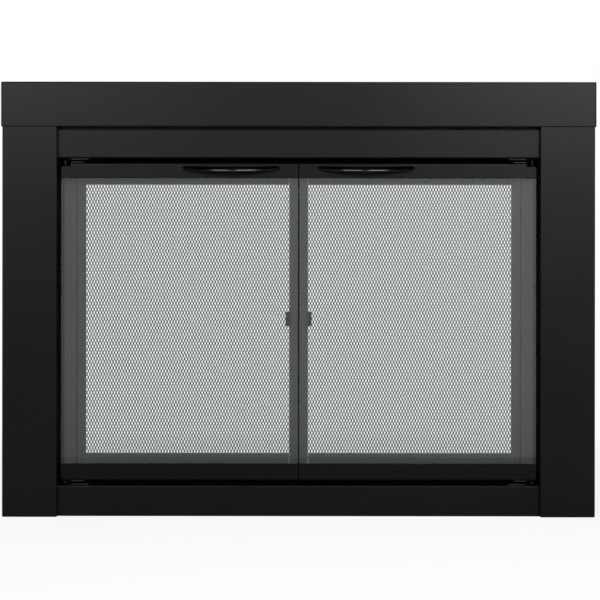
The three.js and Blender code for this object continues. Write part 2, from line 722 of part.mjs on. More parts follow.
function meshDoors() {
  const innerFreeX = meshFreeX + meshMeetingWidth;
  const innerHingeX = meshOuterX - meshStileWidth;
  const netBottomZ = meshBottomZ + meshRailHeight;
  const netTopZ = meshTopZ - meshRailHeight;
  const middleZ = (meshBottomZ + meshTopZ) / 2;
  for (const [hand, side] of hands) {
    const hingeSection = barSection(side * innerHingeX, side * meshOuterX, false);
    const pinX = side * meshPivotX;
    let hingeStile = solid(alongZ(hingeSection, meshBottomZ, meshTopZ));
    for (const [end, out] of [[meshTopZ, 1], [meshBottomZ, -1]]) {
      const root = end - out * meshPinRoot;
      const pinEnd = end + out * meshPinLength;
      const collarEnd = end + out * (meshDoorClearance - seatGap);
      for (const [tip, radius] of [[pinEnd, meshPinRadius], [collarEnd, meshCollarRadius]]) {
        const bar = post(pinX, meshMidY, Math.min(root, tip), Math.max(root, tip), radius);
        hingeStile = hingeStile.add(solid(bar));
      }
    }
    add(`${hand}_mesh_hinge_stile`, geometryOf(hingeStile), meshPaint());
    const meeting = barSection(side * innerFreeX, side * meshFreeX, false);
    add(`${hand}_mesh_meeting_stile`, alongZ(meeting, meshBottomZ, meshTopZ), meshPaint());

    const barX0 = side * (innerFreeX + barJointGap);
    const barX1 = side * (innerHingeX - barJointGap);
    const bars = [['top', netTopZ, meshTopZ], ['bottom', netBottomZ, meshBottomZ]];
    for (const [level, mouthZ, webZ] of bars) {
      add(`${hand}_mesh_${level}_bar`, alongX(barSection(mouthZ, webZ, true), barX0, barX1), meshPaint());
    }

    const [netX0, netX1] = [side * innerFreeX, side * innerHingeX].sort((a, b) => a - b);
    add(`${hand}_mesh_net`, meshNet(netX0, netX1, netBottomZ, netTopZ), meshPaint());

    const seatY = meshFaceY - seatGap - tabSheet / 2;
    const tab = foldedOutline([
      [side * (innerFreeX - pullTabSeat), seatY],
      [side * (innerFreeX + pullTabFlat), seatY],
      [side * (innerFreeX + pullTabReach), seatY - pullTabLift],
    ], tabSheet, tabBend);
    const [tabFrom, tabTo] = [middleZ - pullTabHeight / 2, middleZ + pullTabHeight / 2];
    add(`${hand}_mesh_pull_tab`, alongZ(tab, tabFrom, tabTo), darkSteel());
  }
}

// Angle brackets behind the rebate lips, one over and one under each mesh door.
function meshPivotBrackets() {
  const half = earThickness / 2;
  const uprightY = rebateBackY + seatGap + half;
  for (const [hand, side] of hands) {
    for (const [level, out, lipZ] of [['upper', 1, upperLipZ], ['lower', -1, lowerLipZ]]) {
      const legZ = lipZ + out * (seatGap + half);
      const section = foldedOutline([
        [uprightY, lipZ + out * earHeight],
        [uprightY, legZ],
        [uprightY - half + earDepth, legZ],
      ], earThickness, earBend);
      const x = side * meshPivotX;
      const angle = solid(alongX(section, x - earWidth / 2, x + earWidth / 2));
      const bore = solid(post(x, meshMidY, legZ - cutPast, legZ + cutPast, meshPinRadius + pinPlay));
      add(`${level}_${hand}_mesh_bracket`, geometryOf(angle.subtract(bore)), darkSteel());
    }
  }
}

// ---- The whole set -----------------------------------------------------------------------

surround();
cornerBrackets();
frameHinges();
lintelClamps();
hearthBrackets();
magnetCatch();
glassDoors();
meshDoors();
meshPivotBrackets();

export default part;
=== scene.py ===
import functools
import math

import bpy
import numpy as np
from bpy.props import FloatProperty, FloatVectorProperty, IntProperty, PointerProperty
from bpy.types import Operator, Panel, PropertyGroup
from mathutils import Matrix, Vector


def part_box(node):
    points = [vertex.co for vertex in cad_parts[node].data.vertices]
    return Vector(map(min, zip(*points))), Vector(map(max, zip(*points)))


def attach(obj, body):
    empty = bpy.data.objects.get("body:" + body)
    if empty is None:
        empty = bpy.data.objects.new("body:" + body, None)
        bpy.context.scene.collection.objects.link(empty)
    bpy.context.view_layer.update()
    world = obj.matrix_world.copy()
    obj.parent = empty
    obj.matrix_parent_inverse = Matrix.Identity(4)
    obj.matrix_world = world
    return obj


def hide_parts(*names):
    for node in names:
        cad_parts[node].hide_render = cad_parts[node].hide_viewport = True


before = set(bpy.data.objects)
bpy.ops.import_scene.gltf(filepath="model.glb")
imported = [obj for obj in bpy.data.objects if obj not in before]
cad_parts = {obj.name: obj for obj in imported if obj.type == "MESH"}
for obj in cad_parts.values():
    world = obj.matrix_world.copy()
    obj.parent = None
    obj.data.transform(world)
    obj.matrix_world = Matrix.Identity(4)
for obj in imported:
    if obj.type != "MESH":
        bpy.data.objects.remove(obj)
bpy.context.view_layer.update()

bl_info = {
    "name": "Fireplace glass door",
    "version": (1, 0, 0),
    "blender": (4, 5, 0),
    "location": "3D View > Sidebar > Fireplace",
    "description": "Dresses the fireplace surround with its glass and mesh doors",
    "category": "Object",
}

MM = 0.001
SEAT = 0.3 * MM  # gap between two pieces that touch
GUARD = 0.4 * MM  # from a rounded edge to the point that keeps the flat beside it flat
BACKWARDS, UPWARDS = (0, 1, 0), (0, 0, 1)
RIVET = 0.7  # size of a rivet's head, as a share of a screw's
BLACK_RISE = 0.00006  # height of a dull coat's grain
HANDS = (("left", -1), ("right", 1))
LEVELS = (("upper", 1), ("lower", -1))


# ---- Sizes and colours -------------------------------------------------------------------

def length(description, default):
    """A length in metres, shown with its unit."""
    return FloatProperty(description=description, default=default, min=0.0, precision=5,
                         unit="LENGTH")


def place_at(description, default):
    """A coordinate in metres."""
    return FloatProperty(description=description, default=default, precision=5, unit="LENGTH")


def number(description, default, low=0.0, high=100.0):
    """A plain number."""
    return FloatProperty(description=description, default=default, min=low, max=high)


def turn(description, default):
    """An angle in radians, shown in degrees."""
    return FloatProperty(description=description, default=default, subtype="ANGLE")


def colour(description, default):
    """A linear colour of three channels."""
    return FloatVectorProperty(description=description, default=default, subtype="COLOR",
                               size=3, min=0.0, max=1.0)


def share(description, default):
    """A number from nought to one."""
    return FloatProperty(description=description, default=default, min=0.0, max=1.0,
                         subtype="FACTOR")


class SurroundSettings(PropertyGroup):
    """Sheet-metal sizes and the black powder coat."""
    sheet: length("Thickness of the folded steel", 0.0012)
    bend: length("Inner radius of the folds in the rails", 0.0014)
    edge_roll: length("Outer radius of the rolled panel edges", 0.0030)
    plan_corner: length("Corner radius of a panel seen from the front", 0.0025)
    rear_lip: length("Width of the inturned lip on the masonry", 0.018)
    tight_share: share("Roll along the seams, as a share of the outer roll", 0.42)
    # Grey of the mesh doors and jambs: partly their coat, partly painted reflection.
    inner_coat_and_reflection: colour("Colour of the mesh doors' and jambs' coat", (0.045, 0.045, 0.0452))
    # Past this distance from the middle the jambs are darkened as painted shade.
    jamb_shade_from: length("How far out from the middle the jambs' coat stops", 0.4415)
    jamb_end: length("How far the jambs run up and down behind the rails' lips", 0.0009)
    stile_share: share("Roll along the stiles' tops, as a share", 0.08)
    stile_top: length("How far the stiles run up behind the header's roll", 0.00036)
    rail_end: length("How far the folded rails run on towards the stiles", 0.00036)
    upturn: length("Height of the inner top rail's upturn over its flange", 0.0027)
    stop_cover: length("Width of the jamb's stop behind the mesh door", 0.006)
    stop_inset: length("Gap from the jamb's stop to the masonry plane", 0.0005)
    paint: colour("Colour of the powder coat", (0.0047, 0.0047, 0.0049))
    roughness: share("Roughness of the powder coat", 0.235)
    specular: share("Specular level of the powder coat", 0.07)
    peel: length("Height of the coat's orange peel", 0.00006)


class DoorSettings(PropertyGroup):
    """The glass doors."""
    glass_bevel: length("Radius of the ground glass edges", 0.0006)
    glass_tint: colour("What the glass lets through at each face", (0.935, 0.962, 0.953))
    edge_tint: colour("Colour of the ground glass edges", (0.014, 0.030, 0.025))
    mirror_index: number("Refractive index that sets the glass's mirror gloss", 1.62, 1.0, 3.0)
    strip_reach: length("Edge strips past the mesh doors' ends", 0.00285)
    pane_reach: length("Glass past the rails' hinge ends", 0.0016)
    pane_meet: length("Glass past the rails' meeting ends", 0.0011)
    notch_width: length("Corner notch of the top rails, across", 0.018)
    notch_height: length("Corner notch of the top rails, from the top", 0.0066)
    rail_paint: colour("Colour of the door rails", (0.0038, 0.0038, 0.0039))


class HandleSettings(PropertyGroup):
    """The bow handles."""
    reach: length("Length of the bow handle", 0.182)
    centre: length("Handle's middle from the middle of the surround", 0.1265)
    rise: length("Handle ends below the rail's top edge", 0.0092)
    bow: length("Middle of the bar proud of its ends", 0.022)
    droop: length("Middle of the bar below its ends", 0.0047)
    depth: length("Bar's depth at its middle", 0.0076)
    height: length("Bar's height at its middle", 0.0102)
    lean: number("How far the bar's front leans back, as a slope", 0.42, 0.0, 1.0)
    foot_ease: number("Over 1, the bow leaves its feet flat", 1.4, 1.0, 4.0)
    foot_sink: length("Bar's middle in front of its flat feet", 0.0016)
    enamel: colour("Colour of the gloss enamel", (0.0009, 0.0009, 0.0010))


class NetSettings(PropertyGroup):
    """The expanded-steel net of the mesh doors."""
    diamond_width: length("Diamond across", 0.00553)
    diamond_height: length("Diamond from top to bottom", 0.01154)
    strand: length("Width of one strand", 0.00158)
    knot: share("Distance of two strands at a knot, in strand widths", 0.40)
    thickness: length("Thickness of the expanded sheet", 0.0006)
    tilt: turn("Turn of a strand out of the sheet's plane", math.radians(24))
    steel: colour("Colour of the net", (0.020, 0.020, 0.021))


class HardwareSettings(PropertyGroup):
    """Screws, clamps, hinges, pull tabs and the mesh doors' stops."""
    head_radius: length("Radius of a pan head", 0.0034)
    head_height: length("Height of a pan head", 0.0018)
    thread_pitch: length("Pitch of the clamp screws", 0.00125)
    clip: length("Thickness of the mesh door stops", 0.0012)
    clip_width: length("Width of the mesh door stops", 0.030)
    clip_seat: length("Height of the stops' seat on the lips", 0.009)
    clip_drop: length("How far the stops reach past the lips", 0.010)
    clip_clear: length("Stops behind the shut mesh doors", 0.0005)
    leaf: length("Thickness of the door hinge leaves", 0.0024)
    pin_radius: length("Radius of the hinge pins", 0.0025)
    tab: length("Thickness of the pull tabs", 0.0013)
    tab_flat: length("Flat of the pull tab on the meeting stile", 0.0044)
    tab_corner: length("Corner radius of the pull tabs", 0.0026)
    strap: length("Thickness of the lintel straps", 0.0026)
    nut_flats: length("Nut across its flats", 0.014)
    nut_height: length("Height of the nut on the strap", 0.006)
    screw_radius: length("Radius of the clamp screws", 0.004)
    pad_height: length("Thickness of the pad", 0.003)
    knob_radius: length("Radius of the knurled knob", 0.010)
    knob_height: length("Height of the knurled knob", 0.009)
    bracket: length("Thickness of the corner and hearth brackets", 0.0020)
    pivot_plate: length("Thickness of the mesh pivots' brackets", 0.0016)
    screw_off: length("Screws from a bracket's edge or middle", 0.0080)
    handle_screws: length("Distance between a handle's two screws", 0.120)
    knurls: IntProperty(description="Grooves round a knob", default=22, min=6, max=60)
    zinc: colour("Colour of the zinc plate", (0.46, 0.47, 0.48))
    oxide: colour("Colour of the hinge steel", (0.014, 0.014, 0.0145))
    # From this distance out the hinge steel is darkened as painted shade.
    overspray: length("Where the hinges turn dull, from the middle", 0.4265)


class StageSettings(PropertyGroup):
    """Camera, light and floor."""
    lens: number("Focal length in millimetres", 85.0, 10.0, 300.0)
    sensor: number("Width of the camera's sensor in millimetres", 36.0)
    camera_x: place_at("Camera across", 0.0026)
    camera_y: place_at("Camera in front, counted negative", -2.6712)
    camera_z: place_at("Camera height", 0.4056)
    camera_roll: turn("Turn about the view", -0.0010)
    lamp_power: number("Watts of the right lamp", 34.0)
    left_lamp: share("Power of the left lamp, as a share of the right one's", 0.85)
    lamp_out: length("Lamps out from the middle", 1.3)
    lamp_ahead: length("Lamps in front of the masonry", 2.6)
    lamp_up: length("Height of the lamps", 1.9)
    lamp_wide: length("Width of a lamp", 1.4)
    lamp_tall: length("Height of a lamp's face", 1.1)
    lamp_target: length("Height on the doors that the lamps point at", 0.4)
    fill: number("Plain light from all round", 0.55)
    left_box: number("Level of the left soft box, seen in gloss only", 15.0)
    right_box: number("Level of the right soft box", 20.5)
    floor_half: length("Floor from the middle to each side", 1.7)
    floor_ahead: length("Floor in front of the masonry", 1.0)
    floor_behind: length("Floor behind the masonry's plane", 1.6)
    fade_from: length("Distance from the doors where the floor starts to fade", 1.1)
    fade_to: length("Distance where the floor is plain white", 2.0)
    floor: colour("Colour of the floor", (0.86, 0.86, 0.86))


SETTINGS = (
    ("surround", SurroundSettings),
    ("doors", DoorSettings),
    ("handles", HandleSettings),
    ("nets", NetSettings),
    ("hardware", HardwareSettings),
    ("stage", StageSettings),
)


class FireplaceSettings(PropertyGroup):
    """All sizes and colours of the dressed fireplace door."""
    surround: PointerProperty(type=SurroundSettings)
    doors: PointerProperty(type=DoorSettings)
    handles: PointerProperty(type=HandleSettings)
    nets: PointerProperty(type=NetSettings)
    hardware: PointerProperty(type=HardwareSettings)
    stage: PointerProperty(type=StageSettings)


def settings():
    """The scene's settings for this object."""
    return bpy.context.scene.fireplace_door


# ---- Surfaces ----------------------------------------------------------------------------

def grid_quads(rows, columns, wrap_rows=False, wrap_columns=False):
    """Quads of a grid numbered row by row: (r, c), (r, c+1), (r+1, c+1), (r+1, c)."""
    r, c = np.meshgrid(
        np.arange(rows if wrap_rows else rows - 1),
        np.arange(columns if wrap_columns else columns - 1),
        indexing="ij",
    )
    r1, c1 = (r + 1) % rows, (c + 1) % columns
    corners = (r * columns + c, r * columns + c1, r1 * columns + c1, r1 * columns + c)
    return np.stack(corners, axis=-1).reshape(-1, 4)


def signed_volume(points, faces):
    """A sixth of the sum of a . (b x c) over the fan triangles of every face."""
    total = 0.0
    for group in faces:
        p = points[group]
        a, b, c = p[:, :1], p[:, 1:-1], p[:, 2:]
        total += np.einsum("ijk,ijk->", np.broadcast_to(a, b.shape), np.cross(b, c)) / 6
    return total


class Form:
    """Points and faces of one piece, gathered from closed surfaces."""

    def __init__(self):
        self.points = []
        self.faces = []
        self.count = 0

    def add(self, points, faces, slots=None):
        """Takes one closed surface, turned round where its signed volume is negative, and gives
        the form back, as loft and spun do."""
        points = np.asarray(points, float).reshape(-1, 3)
        if signed_volume(points - points.mean(0), faces) < 0:
            faces = [group[:, ::-1] for group in faces]
        slots = slots or [0] * len(faces)
        self.faces += [(group + self.count, slot) for group, slot in zip(faces, slots)]
        self.points.append(points)
        self.count += len(points)
        return self

    def loft(self, rings, slots=None):
        """Closed loops of points joined in turn, each end closed with one face."""
        rows, columns = rings.shape[:2]
        first = np.arange(columns)[None]
        last = first + (rows - 1) * columns
        sides = grid_quads(rows, columns, wrap_columns=True)
        return self.add(rings, [first[:, ::-1], sides, last], slots)

    def spun(self, profile, centre, axis, sides, radius_at=None):
        """A profile of (radius, height) turned round an axis; a radius of nought is a pole.

        Point = centre + axis * height + radius * (u cos t + v sin t), and
        radius_at(t, radius, height) may swell the radius for knurls, threads and recesses.
        """
        profile = np.asarray(profile, float)
        axis = np.asarray(axis, float)
        u = np.cross(axis, [0.0, 0.0, 1.0] if abs(axis[2]) < 0.9 else [1.0, 0.0, 0.0])
        u /= np.linalg.norm(u)
        v = np.cross(axis, u)
        t = np.linspace(0, 2 * math.pi, sides, endpoint=False)
        inner = profile[1:-1]
        radius = np.repeat(inner[:, :1], sides, axis=1)
        if radius_at is not None:
            radius = radius + radius_at(t[None], inner[:, :1], inner[:, 1:])
        ring = (np.asarray(centre) + inner[:, 1, None, None] * axis
                + radius[..., None] * (np.cos(t)[:, None] * u + np.sin(t)[:, None] * v))
        poles = np.asarray(centre) + profile[[0, -1], 1, None] * axis
        rows = len(inner)
        around = np.arange(sides)
        after = (around + 1) % sides
        tail = (rows - 1) * sides
        start = np.stack([np.full(sides, rows * sides), after, around], axis=-1)
        end = np.stack([np.full(sides, rows * sides + 1), tail + around, tail + after], axis=-1)
        points = np.concatenate([ring.reshape(-1, 3), poles])
        return self.add(points, [start, grid_quads(rows, sides, wrap_columns=True), end])

    def mesh(self, name):
        """The gathered faces as a Blender mesh, shaded smooth."""
        mesh = bpy.data.meshes.new(name)
        points = np.concatenate(self.points)
        loops = np.concatenate([group.ravel() for group, _ in self.faces])
        sizes = np.concatenate([np.full(len(group), group.shape[1]) for group, _ in self.faces])
        slots = np.concatenate([np.full(len(group), slot) for group, slot in self.faces])
        mesh.vertices.add(len(points))
        mesh.vertices.foreach_set("co", points.ravel())
        mesh.loops.add(len(loops))
        mesh.loops.foreach_set("vertex_index", loops)
        mesh.polygons.add(len(sizes))
        mesh.polygons.foreach_set("loop_start", np.concatenate([[0], np.cumsum(sizes)[:-1]]))
        mesh.polygons.foreach_set("material_index", slots)
        mesh.polygons.foreach_set("use_smooth", np.ones(len(sizes), bool))
        mesh.update(calc_edges=True)
        mesh.validate()
        return mesh


def put(name, form, body, materials, replaced=(), crease=32, rounded=0):
    """Makes the piece's object, creases it past an angle, hangs it on its body, and rounds its
    sharp edges where a width is given."""
    mesh = form.mesh(name)
    mesh.set_sharp_from_angle(angle=math.radians(crease))
    for material in materials:
        mesh.materials.append(material)
    piece = bpy.data.objects.new(name, mesh)
    bpy.context.scene.collection.objects.link(piece)
    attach(piece, body)
    if replaced:
        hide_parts(*replaced)
    if rounded:
        bevel = piece.modifiers.new("rounded_edges", "BEVEL")
        bevel.width = rounded
        bevel.segments = 2
        bevel.limit_method = "ANGLE"
        bevel.angle_limit = math.radians(40)
        bevel.harden_normals = True


def turned(vectors, angles):
    """Plane vectors turned by angles: (x cos a - y sin a, x sin a + y cos a)."""
    c, s = np.cos(angles), np.sin(angles)
    x, y = vectors[..., 0], vectors[..., 1]
    return np.stack([x * c - y * s, x * s + y * c], axis=-1)


def folded_outline(corners, thickness, bend, steps=8, guard=0.3 * MM):
    """Closed outline of a folded sheet.

    The middle line runs through the corners; each corner becomes an arc of the bend radius plus
    half the thickness, with a guard point just before and after it so that the flats shade flat.
    The outline is the middle line set off by half the thickness to both sides.
    """
    p = np.asarray(corners, float)
    along = np.diff(p, axis=0)
    along /= np.linalg.norm(along, axis=1, keepdims=True)
    before, after = along[:-1], along[1:]
    turn = np.arctan2(before[:, 0] * after[:, 1] - before[:, 1] * after[:, 0],
                      (before * after).sum(1))
    radius = bend + thickness / 2
    start = p[1:-1] - before * (radius * np.tan(np.abs(turn) / 2))[:, None]
    to_start = np.stack([before[:, 1], -before[:, 0]], axis=-1) * (np.sign(turn) * radius)[:, None]
    centre = start - to_start
    angle = turn[:, None] * np.linspace(0, 1, steps + 1)
    arcs = centre[:, None] + turned(np.repeat(to_start[:, None], steps + 1, 1), angle)
    heads = turned(np.repeat(before[:, None], steps + 1, 1), angle)
    arcs = np.concatenate([arcs[:, :1] - before[:, None] * guard, arcs,
                           arcs[:, -1:] + after[:, None] * guard], axis=1)
    heads = np.concatenate([heads[:, :1], heads, heads[:, -1:]], axis=1)
    middle = np.concatenate([p[:1], arcs.reshape(-1, 2), p[-1:]])
    heads = np.concatenate([along[:1], heads.reshape(-1, 2), along[-1:]])
    off = np.stack([-heads[:, 1], heads[:, 0]], axis=-1) * (thickness / 2)
    return np.concatenate([middle + off, (middle - off)[::-1]])


def along_x(outline, x0, x1):
    """A (y, z) outline carried from x0 to x1."""
    x = np.broadcast_to(np.array([x0, x1])[:, None, None], (2, len(outline), 1))
    return np.concatenate([x, np.broadcast_to(outline, (2,) + outline.shape)], axis=-1)


def along_y(outline, y0, y1):
    """An (x, z) outline carried from y0 to y1."""
    return along_z(outline, y0, y1)[..., [0, 2, 1]]


def along_z(outline, z0, z1):
    """An (x, y) outline carried from z0 to z1."""
    z = np.broadcast_to(np.array([z0, z1])[:, None, None], (2, len(outline), 1))
    return np.concatenate([np.broadcast_to(outline, (2,) + outline.shape), z], axis=-1)


def rounded_rings(x0, x1, z0, z1, profile, corner, steps=6):
    """A profile of (inset, y) carried round a rectangle in the XZ plane.

    Each ring is the rectangle drawn in by its inset, with corner radius (corner - inset) and
    never under 0.02 mm.
    """
    inset, y = np.asarray(profile, float).T
    radius = np.maximum(corner - inset, 0.02 * MM)[:, None]
    quarter = np.linspace(0, math.pi / 2, steps + 1)
    t = (quarter + np.arange(4)[:, None] * math.pi / 2).ravel()
    sign_x = np.repeat([1, -1, -1, 1], steps + 1)
    sign_z = np.repeat([1, 1, -1, -1], steps + 1)
    half_x = (x1 - x0) / 2 - inset[:, None] - radius
    half_z = (z1 - z0) / 2 - inset[:, None] - radius
    x = (x0 + x1) / 2 + sign_x * half_x + radius * np.cos(t)
    z = (z0 + z1) / 2 + sign_z * half_z + radius * np.sin(t)
    return np.stack([x, np.broadcast_to(y[:, None], x.shape), z], axis=-1)


def quarter_arc(centre, radius, start, steps=7):
    """Points on a quarter circle from the start angle, going on by a right angle."""
    t = start + np.linspace(0, math.pi / 2, steps + 1)
    return np.stack([centre[0] + radius * np.cos(t), centre[1] + radius * np.sin(t)], axis=-1)


def tighten(rings, axis, edge, towards, roll, share_of):
    """Draws the roll along one edge of a panel in: every point within the roll of that edge
    keeps only a share of its distance from it."""
    from_edge = (rings[..., axis] - edge) * towards
    near = from_edge <= roll + 0.5 * MM
    rings[..., axis] = np.where(near, edge + towards * from_edge * share_of, rings[..., axis])
    return rings


def tray_profile(face, back, sheet, roll, lip):
    """Section of an open-backed panel as (inset, y), from inside the front face out over the
    rolled edge, along the wall, round the rear lip, and back inside to the front."""
    edge, fold = 0.2 * MM, 0.5 * MM
    rear = sheet
    return np.concatenate([
        [[roll + GUARD, face]],
        quarter_arc((roll, face + roll), roll, math.pi)[::-1],
        [[0, face + roll + GUARD], [0, back - rear - GUARD]],
        quarter_arc((rear, back - rear), rear, math.pi / 2)[::-1],
        [[rear + GUARD, back], [lip - edge, back], [lip, back - edge],
         [lip, back - sheet + edge], [lip - edge, back - sheet],
         [sheet + fold, back - sheet], [sheet, back - sheet - fold],
         [sheet, face + roll + GUARD]],
        quarter_arc((roll, face + roll), roll - sheet, math.pi),
        [[roll + GUARD, face + sheet]],
    ])


# ---- Shader maths ------------------------------------------------------------------------

class Wire:
    """One output of a node tree, with arithmetic that adds Math nodes."""

    def __init__(self, tree, socket):
        self.tree = tree
        self.socket = socket

    def math(self, operation, *values):
        """A Math node of the operation, fed with wires and numbers."""
        node = self.tree.nodes.new("ShaderNodeMath")
        node.operation = operation
        for slot, value in zip(node.inputs, values):
            if isinstance(value, Wire):
                self.tree.links.new(value.socket, slot)
            else:
                slot.default_value = value
        return Wire(self.tree, node.outputs[0])

    def __add__(self, other):
        return self.math("ADD", self, other)

    def __radd__(self, other):
        return self.math("ADD", other, self)

    def __sub__(self, other):
        return self.math("SUBTRACT", self, other)

    def __rsub__(self, other):
        return self.math("SUBTRACT", other, self)

    def __mul__(self, other):
        return self.math("MULTIPLY", self, other)

    def __rmul__(self, other):
        return self.math("MULTIPLY", other, self)

    def __neg__(self):
        return self.math("MULTIPLY", self, -1.0)


class Recipe:
    """The node tree of one material or of the world."""

    def __init__(self, owner):
        owner.use_nodes = True
        self.owner = owner
        self.tree = owner.node_tree
        self.tree.nodes.clear()

    def node(self, kind, settings=None, **sockets):
        """Adds a node: its settings first, then its sockets by name, with spaces as underscores
        and a socket's index as i0, i1 and so on."""
        node = self.tree.nodes.new("ShaderNode" + kind)
        for key, value in (settings or {}).items():
            setattr(node, key, value)
        for key, value in sockets.items():
            plain = key[1:].isdigit() and key[0] == "i"
            slot = node.inputs[int(key[1:]) if plain else key.replace("_", " ")]
            if isinstance(value, Wire):
                self.tree.links.new(value.socket, slot)
            elif np.isscalar(value) or slot.type != "RGBA":
                slot.default_value = value
            else:
                slot.default_value = (*value[:3], 1.0)
        return node

    def out(self, node, name=0):
        """One output of a node, by name or index."""
        return Wire(self.tree, node.outputs[name])

    def value(self, kind, output=0, settings=None, **sockets):
        """One output of a new node."""
        return self.out(self.node(kind, settings, **sockets), output)

    def mix(self, factor, a, b):
        """Two colours mixed."""
        return self.value("Mix", 2, {"data_type": "RGBA"}, i0=factor, i6=a, i7=b)

    def place(self):
        """Object coordinates in metres."""
        return self.value("TexCoord", "Object")

    def off_centre(self):
        """Distance from the middle, across."""
        x = self.value("SeparateXYZ", Vector=self.place())
        return x.math("ABSOLUTE", x)

    def stretched(self, scale):
        """Object coordinates, scaled along each axis."""
        return self.value("Mapping", Vector=self.place(), Scale=scale)

    def noise(self, scale, detail=2.0, rough=0.5, vector=None):
        """Noise from 0 to 1 with features about 1 / scale metres across."""
        return self.value("TexNoise", "Fac", None, Vector=vector or self.place(), Scale=scale,
                          Detail=detail, Roughness=rough)

    def ramp(self, value, low, high, out_low=0.0, out_high=1.0):
        """Smooth step of a value from low to high."""
        return self.value("MapRange", 0, {"interpolation_type": "SMOOTHSTEP"}, Value=value,
                          From_Min=low, From_Max=high, To_Min=out_low, To_Max=out_high)

    def bump(self, height, distance):
        """A Bump node's normal from a height."""
        return self.value("Bump", Height=height, Distance=distance)

    def surface(self, tone, roughness, specular, height, distance, **sockets):
        """The Principled shader of every solid surface, joined to the output."""
        self.finish(self.node("BsdfPrincipled", Base_Color=tone, Roughness=roughness,
                              Specular_IOR_Level=specular, Normal=self.bump(height, distance),
                              **sockets))

    def finish(self, shader, kind="OutputMaterial"):
        """Joins a shader to the tree's output."""
        self.tree.links.new(shader.outputs[0], self.node(kind).inputs["Surface"])


def scaled(tone, factor, lift=0.0):
    """A colour times a factor, with the same lift on every channel, and never over one."""
    return [min(1.0, c * factor + lift) for c in tone]


def recipe(name):
    """Turns a material's recipe into a function that gives the material, made once."""
    def wrap(build):
        @functools.cache
        def made():
            fresh = bpy.data.materials.new(name)
            build(Recipe(fresh))
            return fresh
        return made
    return wrap


def powder_coat(r, base, roughness, specular, peel):
    """Satin powder coat: orange peel a few millimetres across over a finer grain, and a slow
    drift of tone and gloss over the panel."""
    wave = r.noise(330, 2.5, 0.55)
    grain = r.noise(1700, 2.0, 0.6)
    drift = r.noise(5.5, 3.0, 0.55)
    fleck = r.ramp(r.noise(900, 1.0, 0.5), 0.70, 0.80)
    tone = r.mix(drift, scaled(base, 0.80), scaled(base, 1.20))
    tone = r.mix(fleck * 0.30, tone, scaled(base, 2.2, 0.003))
    r.surface(tone, roughness - 0.05 + drift * 0.07 + wave * 0.04, specular,
              wave * 0.7 + grain * 0.3, peel)


@recipe("surround_black_coat")
def surround_coat(r):
    """The panels' and rails' coat."""
    s = settings().surround
    powder_coat(r, s.paint, s.roughness, s.specular, s.peel)


@recipe("door_rail_black_coat")
def rail_coat(r):
    """The door rails' coat, a little glossier and smoother."""
    s = settings()
    powder_coat(r, s.doors.rail_paint, s.surround.roughness - 0.04, s.surround.specular,
                s.surround.peel * 0.8)


def dull_coat(r, tone, roughness, specular):
    """Thin dull black over a fine grain."""
    grain = r.noise(1400, 3.0, 0.65)
    r.surface(tone, roughness + grain * 0.12, specular, grain, BLACK_RISE)


def cloudy(r, dark, light):
    """Two tones that drift into each other over some centimetres."""
    return r.mix(r.noise(14, 3.0, 0.6), dark, light)


@recipe("inner_matt_black")
def hearth_black(r):
    """Matt heat-resistant black of the mesh doors' edge strips."""
    dull_coat(r, cloudy(r, (0.0042, 0.0042, 0.0042), (0.0062, 0.0061, 0.0060)), 0.58, 0.02)


@recipe("inner_satin_black")
def inner_satin(r):
    """Thin satin black of the mesh doors and jambs, a grey that is partly their coat and partly
    painted reflection, and darkened as painted shade where the jambs run into the slits beside the
    stiles."""
    s = settings().surround
    # Beyond this distance the jambs are darkened as painted shade.
    jamb_shade = r.ramp(r.off_centre(), s.jamb_shade_from, s.jamb_shade_from + 1.2 * MM)
    # This grey is partly the coat and partly painted reflection of the glass.
    tone = cloudy(r, scaled(s.inner_coat_and_reflection, 0.86), scaled(s.inner_coat_and_reflection, 1.14))
    dull_coat(r, r.mix(jamb_shade, tone, (0.004, 0.004, 0.004)), 0.50, 0.02)


@recipe("recess_painted_shade_black")
def recess_shade_black(r):
    """Dull near-black laid inside the recesses as painted shade."""
    tone = r.mix(r.noise(1400, 3.0, 0.65), (0.0020, 0.0020, 0.0020), (0.0036, 0.0036, 0.0036))
    dull_coat(r, tone, 0.74, 0.0)


@recipe("expanded_steel")
def net_steel(r):
    """Painted expanded steel whose tone drifts lighter and darker in patches."""
    base = settings().nets.steel
    grain = r.noise(1100, 2.0, 0.6)
    tone = r.mix(r.noise(60, 3.0, 0.6), scaled(base, 0.7), scaled(base, 1.5))
    r.surface(tone, 0.42 + grain * 0.14, 0.10, grain, 0.04 * MM)


@recipe("gloss_black_enamel")
def handle_enamel(r):
    """Gloss black enamel, with the faintest flow marks and a little dust."""
    base = settings().handles.enamel
    flow = r.noise(90, 1.5, 0.4, r.stretched((0.35, 1.0, 1.0)))
    dust = r.ramp(r.noise(1500, 1.0, 0.4), 0.74, 0.82)
    tone = r.mix(dust, base, scaled(base, 1.0, 0.010))
    r.surface(tone, 0.03 + flow * 0.03 + dust * 0.1, 0.34, flow, 0.05 * MM)


def brushed_grain(r):
    """Fine grain drawn out across."""
    return r.noise(700, 2.0, 0.6, r.stretched((0.06, 1.0, 1.0)))


@recipe("black_oxide_steel")
def oxide_steel(r):
    """Black-oxide steel: dark metal with a brushed grain and rubbed lighter patches."""
    base = settings().hardware.oxide
    brushed = brushed_grain(r)
    rubbed = r.ramp(r.noise(160, 3.0, 0.65), 0.55, 0.78)
    tone = r.mix(rubbed, base, scaled(base, 2.2, 0.006))
    r.surface(tone, 0.38 + brushed * 0.18, 0.08, brushed, 0.04 * MM, Metallic=0.75)


